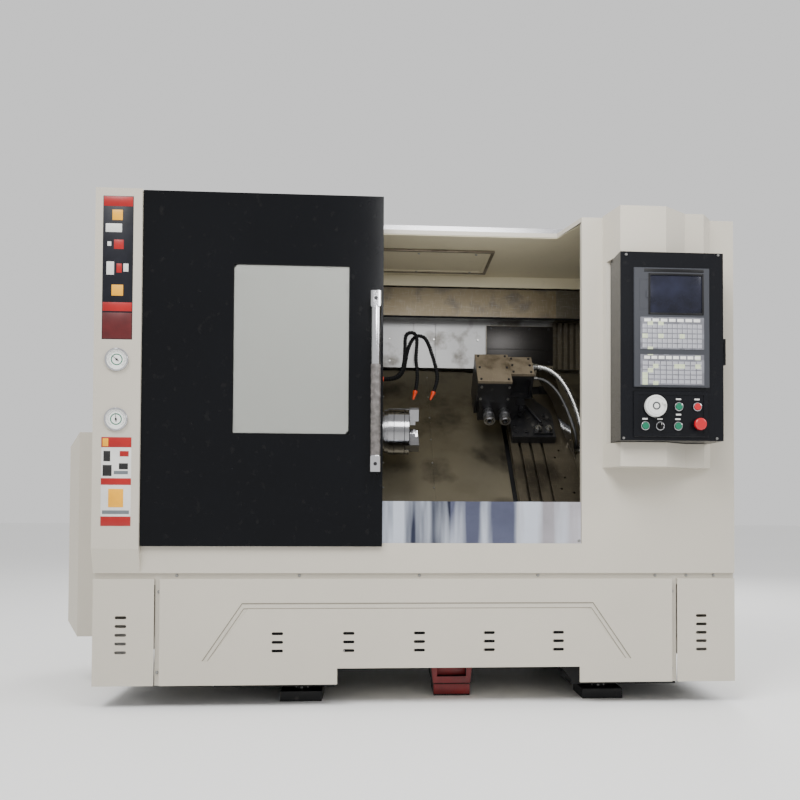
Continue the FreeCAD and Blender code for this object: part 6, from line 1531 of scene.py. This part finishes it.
@dataclass
class WorkSpace:
    """Inside of the machine: cover seams, wipers, sheet screws and the hatch."""

    kit: Kit

    def build(self) -> None:
        """Builds the work space's fittings."""
        self.wipers()
        self.lining_screws()
        self.dark_plate()
        self.shadow_gaps()

    def wipers(self) -> None:
        """Steel-backed wiper strips on the edges of the sliding covers."""
        low_s, high_s = -0.325, 0.572
        lift = tuple(slope(0.0, 0.0, 0.0025) - slope(0.0, 0.0, 0.0))
        for name, body, x, top_s, n in (
            ("wiper_left_fixed", "machine", 0.193, high_s, 0.0),
            ("wiper_right_carriage", "carriage", 0.860, 0.540, 0.002),
        ):
            outline = ((-0.016, low_s), (0.0, low_s), (0.0, top_s), (-0.016, top_s))
            corners = [tuple(slope(x + dx, s, n)) for dx, s in outline]
            Shape().prism(corners, lift).piece(name, COVER_STEEL, body, "lining_steel")
        seams = Shape()
        lift = tuple(slope(0.0, 0.0, 0.0012) - slope(0.0, 0.0, 0.0))
        for x in (-0.030, 0.085):
            corners = [slope(x + dx, s, -0.0002) for dx, s in (
                (-0.002, low_s), (0.002, low_s), (0.002, high_s), (-0.002, high_s),
            )]
            seams.prism([tuple(c) for c in corners], lift)
        seams.piece("cover_seams", COVER_STEEL, "machine", "lining_steel")
        points = [slope(x, s, 0.0) for x in (-0.012, 0.175) for s in spaced(-0.29, 0.53, 7)]
        self.kit.pan.set_out(
            "cover_screws", facing([tuple(p) for p in points], Facing.SLOPE),
            (0.0045, 0.0045, 0.002), BRIGHT_SCREW,
            "machine", "machined_steel", math.tau,
        )

    def lining_screws(self) -> None:
        """Screws of the ledge, the back sheet, the hatch and the splash plate."""
        back = 0.207
        places = facing([(x, back, 1.30) for x in (0.015, 0.205, 0.395)], Facing.FRONT)
        places += facing([(x, back, 1.395) for x in (0.015, 0.205, 0.395)], Facing.FRONT)
        places += facing([(x, y, 1.638) for x in (-0.09, 0.12, 0.34) for y in (-0.205, 0.03)], Facing.DOWN)
        places += facing([(x, -0.556, 0.555) for x in (-0.075, 0.655)], Facing.FRONT)
        self.kit.pan.set_out(
            "lining_screws", places, (0.0055, 0.0055, 0.0025), BRIGHT_SCREW, "machine",
            "machined_steel", math.tau,
        )
        seam = Shape()
        for x in (0.118, 0.212):
            seam.block((x - 0.0015, back - 0.0012, 1.28), (x + 0.0015, back + 0.0005, 1.474), 0.0004)
        seam.piece("back_sheet_seams", LINING, "machine", "stainless")

    def shadow_gaps(self) -> None:
        """Blocks of painted shade: black in the joint under the upper panel, tan round the ceiling hatch."""
        # The black block in the joint is painted shade, not a part.
        gap = Shape().block((BULKHEAD_X + 0.001, 0.1275, 1.4705), (0.881, 0.1325, 1.4785), 0.001)
        gap.piece("panel_joint_shade", BLACK_RUBBER, "machine", "black_rubber")
        x0, x1, y0, y1, z = -0.143, 0.396, -0.221, 0.047, 1.6408
        # The tan frame round the hatch is painted shade in its gaps.
        hatch_shade = Shape()
        for low, high in (
            ((x0 - 0.012, y0 - 0.012), (x1 + 0.012, y0)), ((x0 - 0.004, y1), (x1 + 0.012, y1 + 0.012)),
            ((x1, y0), (x1 + 0.012, y1)),
        ):
            hatch_shade.block((*low, z - 0.003), (*high, z + 0.0055), 0.0008)
        hatch_shade.piece("hatch_gap_shade", TAN_PAINTED_LIGHT, "machine", "black_rubber")

    def dark_plate(self) -> None:
        """Slate-coloured face of the carriage's rear plate, with its fold line and screws."""
        x0, x1 = NOSE_X + 0.439, NOSE_X + 0.730
        y = 0.187
        face = Shape().block((x0 + 0.001, y - 0.0012, 1.285), (x1 - 0.001, y + 0.0003, 1.454), 0.0005)
        face.block((x0 + 0.001, y - 0.0028, 1.352), (x1 - 0.001, y, 1.357), 0.0008)
        face.piece("rear_plate_face", DARK_SLATE, "carriage", "lining_steel")
        points = [(x, y - 0.0012, z) for x in spaced(x0 + 0.02, x1 - 0.02, 4) for z in (1.30, 1.442)]
        self.kit.pan.set_out(
            "rear_plate_screws", facing(points, Facing.FRONT), (0.005, 0.005, 0.0024), BLACK_SCREW,
            "carriage",
            "machined_steel", math.tau,
        )


@dataclass
class PowerHead:
    """Driven power head on the tool table: caps, screws, bolts and slot nuts."""

    kit: Kit

    def build(self) -> None:
        """Builds the head's fittings."""
        x = TABLE_X
        cap_a = (x - 0.131, 0.130, x - 0.004, 0.303, 0.276)
        cap_b = (x - 0.003, 0.190, x + 0.088, 0.300, 0.268)
        # The caps' tan over the black head is painted light: the lit top faces, which look up the slope.
        caps = Shape()
        for x0, s0, x1, s1, n in (cap_a, cap_b):
            grown = [slope(px, s, n + 0.0002) for px, s in (
                (x0 - 0.0006, s0 - 0.0006), (x1 + 0.0006, s0 - 0.0006), (x1 + 0.0006, s1 + 0.0006),
                (x0 - 0.0006, s1 + 0.0006),
            )]
            lift = tuple(slope(0, 0, -0.0102) - slope(0, 0, 0))
            caps.prism([tuple(c) for c in reversed(grown)], lift)
        caps.piece("head_lit_cap_plates", TAN_PAINTED_LIGHT, "cross_slide", "black_iron")
        places = []
        for x0, s0, x1, s1, n in (cap_a, cap_b):
            inset = 0.012
            for px in (x0 + inset, x1 - inset):
                for s in (s0 + inset, (s0 + s1) / 2, s1 - inset):
                    places.append(tuple(slope(px, s, n)))
        self.kit.socket.set_out(
            "head_cap_screws", facing(places, Facing.SLOPE), (0.0045, 0.0045, 0.0035), BLACK_SCREW,
            "cross_slide",
            "machined_steel", math.tau,
        )
        points = [
            tuple(slope(x + dx, s, 0.1))
            for dx, s in ((0.02, 0.05), (0.02, 0.09), (0.14, 0.15), (0.06, 0.05))
        ]
        self.kit.socket.set_out(
            "tool_plate_screws", facing(points, Facing.SLOPE), (0.007, 0.007, 0.007), BLACK_SCREW,
            "cross_slide",
            "machined_steel", math.tau,
        )
        points = [tuple(slope(x + dx, 0.130, n)) for dx in (-0.116, -0.012) for n in (0.196, 0.250)]
        self.kit.socket.set_out(
            "head_face_screws", facing(points, Facing.DOWN_SLOPE), (0.005, 0.005, 0.004),
            BRIGHT_SCREW, "cross_slide",
            "machined_steel", math.tau,
        )
        self.slot_nuts()
        self.nose_details()
        self.tool_plate()

    def tool_plate(self) -> None:
        """Black enamel skin of the tool plate."""
        grow = 0.0004
        outline = (
            (0.004 - grow, 0.022 - grow), (0.170 + grow, 0.022 - grow), (0.173 + grow, 0.149),
            (0.165 + grow, 0.186 + grow),
            (0.084, 0.300 + grow), (0.004 - grow, 0.300 + grow),
        )
        corners = [tuple(slope(TABLE_X + dx, s, TABLE_N + 0.0002)) for dx, s in outline]
        lift = tuple(slope(0, 0, 0.0302) - slope(0, 0, 0))
        skin = Shape().prism(corners, lift)
        skin.piece("tool_plate_skin", HEAD_BLACK, "cross_slide", "black_iron")

    def slot_nuts(self) -> None:
        """Hexagon nuts over the clamp bar's studs, and stop screws on the table's edge."""
        points = [tuple(slope(TABLE_X + dx, 0.052, 0.110)) for dx in (0.104, 0.143)]
        self.kit.hex.set_out(
            "clamp_nuts", facing(points, Facing.SLOPE), (0.0135, 0.0135, 0.020), BRIGHT_SCREW, "cross_slide",
            "machined_steel", math.tau,
        )
        points = [tuple(slope(TABLE_X + dx, -0.330, 0.052)) for dx in (0.054, 0.098, 0.19)]
        self.kit.socket.set_out(
            "table_end_screws", facing(points, Facing.DOWN_SLOPE), (0.006, 0.006, 0.004),
            BLACK_SCREW, "cross_slide",
            "machined_steel", math.tau,
        )

    def nose_details(self) -> None:
        """Knurled rings and collets of the two driven noses."""
        for number, dx in ((1, -0.082), (2, -0.022)):
            start = slope(TABLE_X + dx, 0.130, 0.138)
            way = Facing.DOWN_SLOPE.value
            ring = Shape().loop(tuple(start), way, [
                (0.0655, 0.0085), (0.0655, 0.0135), (0.0625, 0.0165), (0.0618, 0.0165), (0.0618, 0.0085),
            ])
            ring.piece(f"collet_{number}", TURNED, f"live_tool_{number}", "machined_steel")
            down = Vector(way)
            across = Vector((1.0, 0.0, 0.0))
            other = down.cross(across)
            places = []
            for i in range(18):
                angle = math.tau * i / 18
                out = across * math.cos(angle) + other * math.sin(angle)
                basis = Matrix((down.cross(out), down, out)).transposed().to_euler()
                places.append((tuple(start + down * 0.0165 + out * 0.0176), tuple(basis)))
            self.kit.bar.set_out(
                f"nose_{number}_flutes", places, (0.0022, 0.010, 0.0012), BLACK_SCREW, f"live_tool_{number}",
                "machined_steel",
            )


@dataclass
class CoolantHoses:
    """Two jointed coolant hoses beside the chuck, with orange valves and nozzles."""

    kit: Kit
    base: Vector = field(default_factory=lambda: Vector((0.0, -0.30558, 1.1395)))
    radius: float = 0.0074
    route_a: tuple[tuple[float, float], ...] = (
        (-12, 0), (20, 0), (44, 14), (58, 38), (64, 70), (66, 106), (66, 159), (79, 172), (97, 172),
        (110, 159),
        (109, 116), (105, 72), (112, 28), (111, -17), (104, -46),
    )
    route_b: tuple[tuple[float, float], ...] = (
        (-12, 0), (24, 0), (50, 14), (64, 40), (70, 78), (78, 118), (92, 150), (114, 166),
        (138, 160), (154, 134),
        (170, 84), (186, 32), (187, -8), (172, -46),
    )

    def build(self) -> None:
        """Builds both hoses."""
        pieces = []
        for name, route, depth in (
            ("coolant_hose_a", self.route_a, 0.0), ("coolant_hose_b", self.route_b, 0.016),
        ):
            points = [self.base + Vector((x / 1000.0, depth, z / 1000.0)) for x, z in route]
            pieces.append(self.hose(name, points))
        for piece in pieces:
            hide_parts("coolant_hoses")

    def hose(self, name: str, points: list[Vector]) -> bpy.types.Object:
        """One hose.

        Args:
            name: the piece's name.
            points: its route.

        Returns:
            The hose's segments.
        """
        line = smooth_line(name + "_line", points)
        verts = [v.co.copy() for v in line.vertices]
        pitch = 0.0092
        places, travelled, target = [], 0.0, pitch / 2
        for one, two in zip(verts, verts[1:]):
            length = (two - one).length
            while target <= travelled + length:
                share = (target - travelled) / length
                places.append((tuple(one.lerp(two, share)), tuple(turn_to(two - one))))
                target += pitch
            travelled += length
        size = (self.radius * 1.06, self.radius * 1.06, pitch * 1.02)
        piece = self.kit.bead.set_out(name, places, size, BLACK_RUBBER, "machine", "black_plastic")
        last = points[-1]
        way = (last - points[-2]).normalized()
        r = self.radius
        nozzle = Shape().lathe(tuple(last - way * 0.004), tuple(way), [
            (0.0, r * 0.9), (0.001, r * 1.14), (0.009, r * 1.14), (0.010, r * 0.95),
            (0.030, r * 0.48), (0.0335, r * 0.46),
        ])
        nozzle.piece(name + "_nozzle", ORANGE_PLASTIC, "machine", "black_plastic")
        start = points[0]
        valve = Shape().lathe((start.x - 0.026, start.y, start.z), Facing.RIGHT.value, [
            (0.0, r * 0.8), (0.001, r * 1.08), (0.008, r * 1.08), (0.009, r * 0.9),
            (0.017, r * 0.9), (0.018, r * 1.08),
            (0.026, r * 1.08), (0.027, r * 0.8),
        ])
        valve.piece(name + "_valve", ORANGE_PLASTIC, "machine", "black_plastic")
        pipe = Shape().lathe((BULKHEAD_X, start.y, start.z), Facing.RIGHT.value, [
            (0.0, 0.0062), (start.x - BULKHEAD_X - 0.026, 0.0062),
        ])
        pipe.lathe(
            (BULKHEAD_X, start.y, start.z), Facing.RIGHT.value,
            [(0.0, 0.011), (0.009, 0.011), (0.010, 0.009)], 6,
        )
        pipe.piece(name + "_pipe", BRIGHT_SCREW, "machine", "machined_steel")
        return piece


@dataclass
class HeadCords:
    """Ribbed conduit and braided hose from the power head to the carriage cover."""

    kit: Kit
    conduit_route: tuple[tuple[float, float, float], ...] = (
        (94, 282, 236), (129, 282, 236), (164, 270, 231), (195, 247, 219), (220, 217, 201), (240, 183, 177),
        (257, 150, 151), (270, 118, 124), (279, 90, 97), (285, 73, 70), (287, 64, 42), (287, 64, 14),
    )
    hose_route: tuple[tuple[float, float, float], ...] = (
        (94, 250, 206), (121, 250, 206), (150, 238, 201), (174, 218, 191), (197, 190, 175), (215, 160, 154),
        (231, 129, 131), (245, 97, 107), (254, 70, 83), (260, 53, 60), (261, 46, 37), (261, 46, 14),
    )

    def build(self) -> None:
        """Builds both cords and their end fittings."""
        for name, route, radius, depth, pitch, length, finish, stiffness in (
            ("head_conduit", self.conduit_route, 0.0104, 0.0006, 0.0052, 0.414, CONDUIT_STEEL, "stiff"),
            ("head_hose", self.hose_route, 0.0058, 0.0002, 0.0022, 0.364, BRAID, "medium"),
        ):
            points = [slope(TABLE_X + x / 1000.0, s / 1000.0, n / 1000.0) for x, s, n in route]
            line = smooth_line(name + "_line", points)
            mesh = self.kit.tube.draw(line, name, radius, depth, pitch, finish)
            mesh.shade_smooth()
            piece = bpy.data.objects.new(name, mesh)
            bpy.context.scene.collection.objects.link(piece)
            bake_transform(piece)
            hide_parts("head_conduits")
            self.fittings(name, points, radius + depth)
            LOG.info("%s: %d faces", name, len(mesh.polygons))

    def fittings(self, name: str, points: list[Vector], radius: float) -> None:
        """Hexagon fittings at both ends of a cord.

        Args:
            name: the cord's name.
            points: its route.
            radius: its outer radius.
        """
        start = points[0]
        head = Shape().lathe(tuple(start - Vector((0.006, 0, 0))), Facing.RIGHT.value, [
            (0.0, radius * 1.42), (0.012, radius * 1.42), (0.014, radius * 1.25),
        ], 6)
        head.loop(tuple(start), Facing.RIGHT.value, [
            (0.008, radius + 0.0003), (0.008, radius * 1.2), (0.020, radius * 1.14), (0.020, radius + 0.0003),
        ])
        head.piece(name + "_head_fitting", BRIGHT_SCREW, "cross_slide", "machined_steel")
        end = points[-1]
        foot = Shape().loop(tuple(end), Facing.SLOPE.value, [
            (-0.0115, radius + 0.0003), (-0.0115, radius * 1.55), (-0.002, radius * 1.55),
            (0.0, radius * 1.35),
            (0.012, radius * 1.2), (0.012, radius + 0.0003),
        ], 24)
        foot.piece(name + "_foot_fitting", BRIGHT_SCREW, "carriage", "machined_steel")


@dataclass
class Base:
    """Feet under the casing: nuts on the levelling bolts, flange bolts and the red middle jack."""

    kit: Kit
    pad_x: tuple[float, float] = (-0.290, 0.760)
    pad_y: tuple[float, float] = (-0.395, 0.330)

    def build(self) -> None:
        """Builds the base's fittings."""
        points = [(x, y, 0.0335) for x in self.pad_x for y in self.pad_y]
        self.kit.hex.set_out(
            "levelling_nuts", facing(points, Facing.UP), (0.026, 0.026, 0.0125), BRIGHT_SCREW, "machine",
            "machined_steel", math.tau,
        )
        points = [
            (x + dx, -0.428, 0.062)
            for x, span in ((-0.59, 0.414), (0.655, 0.375)) for dx in (0.03, span - 0.03)
        ]
        self.kit.hex.set_out(
            "flange_bolts", facing(points, Facing.UP), (0.011, 0.011, 0.014), BLACK_SCREW, "machine",
            "machined_steel", math.tau,
        )
        middle = 0.235
        y = -0.390
        jack = Shape()
        outline = [(middle + dx, y - 0.0012, z) for dx, z in (
            (-0.0655, 0.0425), (0.0655, 0.0425), (0.079, 0.1495), (-0.079, 0.1495),
        )]
        inner = [
            (middle + dx, z)
            for dx, z in ((-0.052, 0.066), (0.052, 0.066), (0.052, 0.124), (-0.052, 0.124))
        ]
        for i in range(4):
            j = (i + 1) % 4
            quad = [
                outline[i], outline[j], (inner[j][0], y - 0.0012, inner[j][1]),
                (inner[i][0], y - 0.0012, inner[i][1]),
            ]
            jack.prism(quad, (0.0, 0.0024, 0.0))
        jack.block((middle - 0.051, y + 0.026, 0.067), (middle + 0.051, y + 0.0302, 0.123), 0.001)
        bmesh.ops.remove_doubles(jack.bm, verts=jack.bm.verts[:], dist=0.00001)
        doubled = [f for f in jack.bm.faces if all(len(e.link_faces) > 2 for e in f.edges)]
        bmesh.ops.delete(jack.bm, geom=doubled, context="FACES_ONLY")
        jack.piece("jack_face", CAST_RED, "machine", "red_plastic")
        foot = Shape().block(
            (middle - 0.0645, y - 0.0068, 0.006), (middle + 0.0645, y - 0.0055, 0.040), 0.0005,
        )
        foot.piece("jack_foot_face", CAST_RED, "machine", "red_plastic")


@dataclass
class RearCabinet:
    """Electrical cabinet behind the machine: door vents, lock and grip, cable glands and screws."""

    kit: Kit

    def build(self) -> None:
        """Builds the cabinet's fittings."""
        low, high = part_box("cabinet_door")
        shell_low, shell_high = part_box("electrical_cabinet")
        y = high.y - 0.008
        places = []
        turn = tuple(Euler((math.radians(-62.0), 0.0, 0.0)))
        for i in range(9):
            for x in (low.x + 0.22, high.x - 0.24):
                places.append(((x, y - 0.0005, low.z + 0.09 + 0.016 * i), turn))
        self.kit.bar.set_out(
            "cabinet_vents", places, (0.20, 0.0012, 0.0075), PAINT, "cabinet_leaf", "cream_paint",
        )
        lock = Shape().lathe((high.x - 0.048, y - 0.001, low.z + 0.40), Facing.BACK.value, [
            (0.0, 0.011), (0.005, 0.011), (0.006, 0.009),
        ])
        lock.piece("cabinet_lock", CHROME, "cabinet_leaf", "chrome")
        grip = Shape().block(
            (high.x - 0.0605, y + 0.0005, low.z + 0.430),
            (high.x - 0.0355, high.y - 0.0002, low.z + 0.560), 0.0012,
        )
        grip.piece("cabinet_grip", BLACK_PLASTIC, "cabinet_leaf", "black_plastic")
        points = [(x, (shell_low.y + shell_high.y) / 2, shell_low.z + 0.008) for x in spaced(0.05, 0.45, 6)]
        self.kit.hex.set_out(
            "cable_glands", facing(points, Facing.DOWN), (0.016, 0.016, 0.022), BLACK_PLASTIC, "machine",
            "black_plastic", math.tau,
        )
        points = [
            (x, y, z)
            for x in (low.x + 0.05, high.x - 0.02) for z in spaced(low.z + 0.05, high.z - 0.05, 4)
        ]
        self.kit.pan.set_out(
            "cabinet_screws", facing(points, Facing.BACK), (0.005, 0.005, 0.0025), BRIGHT_SCREW,
            "cabinet_leaf",
            "machined_steel", math.tau,
        )


@dataclass
class Studio:
    """Pale floor, soft lights and the camera."""

    lens: float = 37.35
    place: Point = (-0.0226, -3.350, 0.651)
    yaw_deg: float = 3.65
    pitch_deg: float = 1.33
    roll_deg: float = 0.24

    def build(self) -> None:
        """Builds the studio round the machine."""
        floor = bpy.data.meshes.new("studio_floor")
        reach = 40.0
        floor.from_pydata(
            [(-reach, -reach, 0), (reach, -reach, 0), (reach, reach, 0), (-reach, reach, 0)], [],
            [(0, 1, 2, 3)],
        )
        floor.materials.append(FLOOR.material())
        ground = bpy.data.objects.new("studio_floor", floor)
        bpy.context.scene.collection.objects.link(ground)
        world = bpy.data.worlds.new("studio")
        world.use_nodes = True
        world.node_tree.nodes["Background"].inputs["Color"].default_value = (1.0, 1.0, 1.0, 1.0)
        world.node_tree.nodes["Background"].inputs["Strength"].default_value = 0.9
        bpy.context.scene.world = world
        self.light("key_light", (-2.2, -3.4, 5.6), (0.0, -0.4, 0.8), 2.6, 300.0)
        self.light("fill_light", (4.6, -2.6, 3.4), (0.2, -0.4, 0.9), 2.2, 110.0)
        self.light("rear_light", (1.5, 4.0, 3.4), (0.0, 0.4, 0.9), 3.0, 150.0)
        self.light("inside_light", (0.35, -1.9, 1.9), (0.25, 0.0, 1.15), 0.7, 22.0)
        self.camera()

    def light(self, name: str, place: Point, target: Point, size: float, power: float) -> None:
        """Adds a soft square light.

        Args:
            name: the light's name.
            place: where it hangs.
            target: the point it looks at.
            size: its side, in metres.
            power: in watts.
        """
        data = bpy.data.lights.new(name, "AREA")
        data.shape = "SQUARE"
        data.size = size
        data.energy = power
        lamp = bpy.data.objects.new(name, data)
        lamp.location = place
        lamp.rotation_euler = (Vector(target) - Vector(place)).to_track_quat("-Z", "Y").to_euler()
        bpy.context.scene.collection.objects.link(lamp)

    def camera(self) -> None:
        """Sets the camera at the operator's side."""
        data = bpy.data.cameras.new("camera")
        data.lens = self.lens
        data.sensor_width = 36.0
        data.shift_x = -0.0413
        data.shift_y = 0.1159
        view = bpy.data.objects.new("camera", data)
        yaw = Matrix.Rotation(math.radians(-self.yaw_deg), 4, "Z")
        pitch = Matrix.Rotation(math.radians(90.0 + self.pitch_deg), 4, "X")
        roll = Matrix.Rotation(math.radians(self.roll_deg), 4, "Z")
        view.matrix_world = Matrix.Translation(self.place) @ yaw @ pitch @ roll
        bpy.context.scene.collection.objects.link(view)
        bpy.context.scene.camera = view


def dress_nodes() -> None:
    """Gives every node of the frame its finish."""
    for finish, names in NODE_FINISHES.items():
        for name in names:
            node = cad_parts[name]
            if not node.material_slots:
                node.data.materials.append(finish.material())
            for place in node.material_slots:
                place.material = finish.material()
            LOG.info("%s dressed in %s", name, finish.name)


def main() -> None:
    """Builds every sub-assembly in order."""
    Studio().build()
    dress_nodes()
    kit = Kit()
    HeadCords(kit).build()
    for part in (
        Casing(kit), Gauge(kit, "gauge_upper", 1.1455, 140.0), Gauge(kit, "gauge_lower", 0.950, 95.0),
        SlidingDoor(kit), Console(kit), Chuck(kit), WorkSpace(kit), PowerHead(kit),
        CoolantHoses(kit), Base(kit),
        RearCabinet(kit),
    ):
        part.build()


if __name__ == "__main__":
    logging.basicConfig(level=logging.INFO, format="%(message)s")
    main()
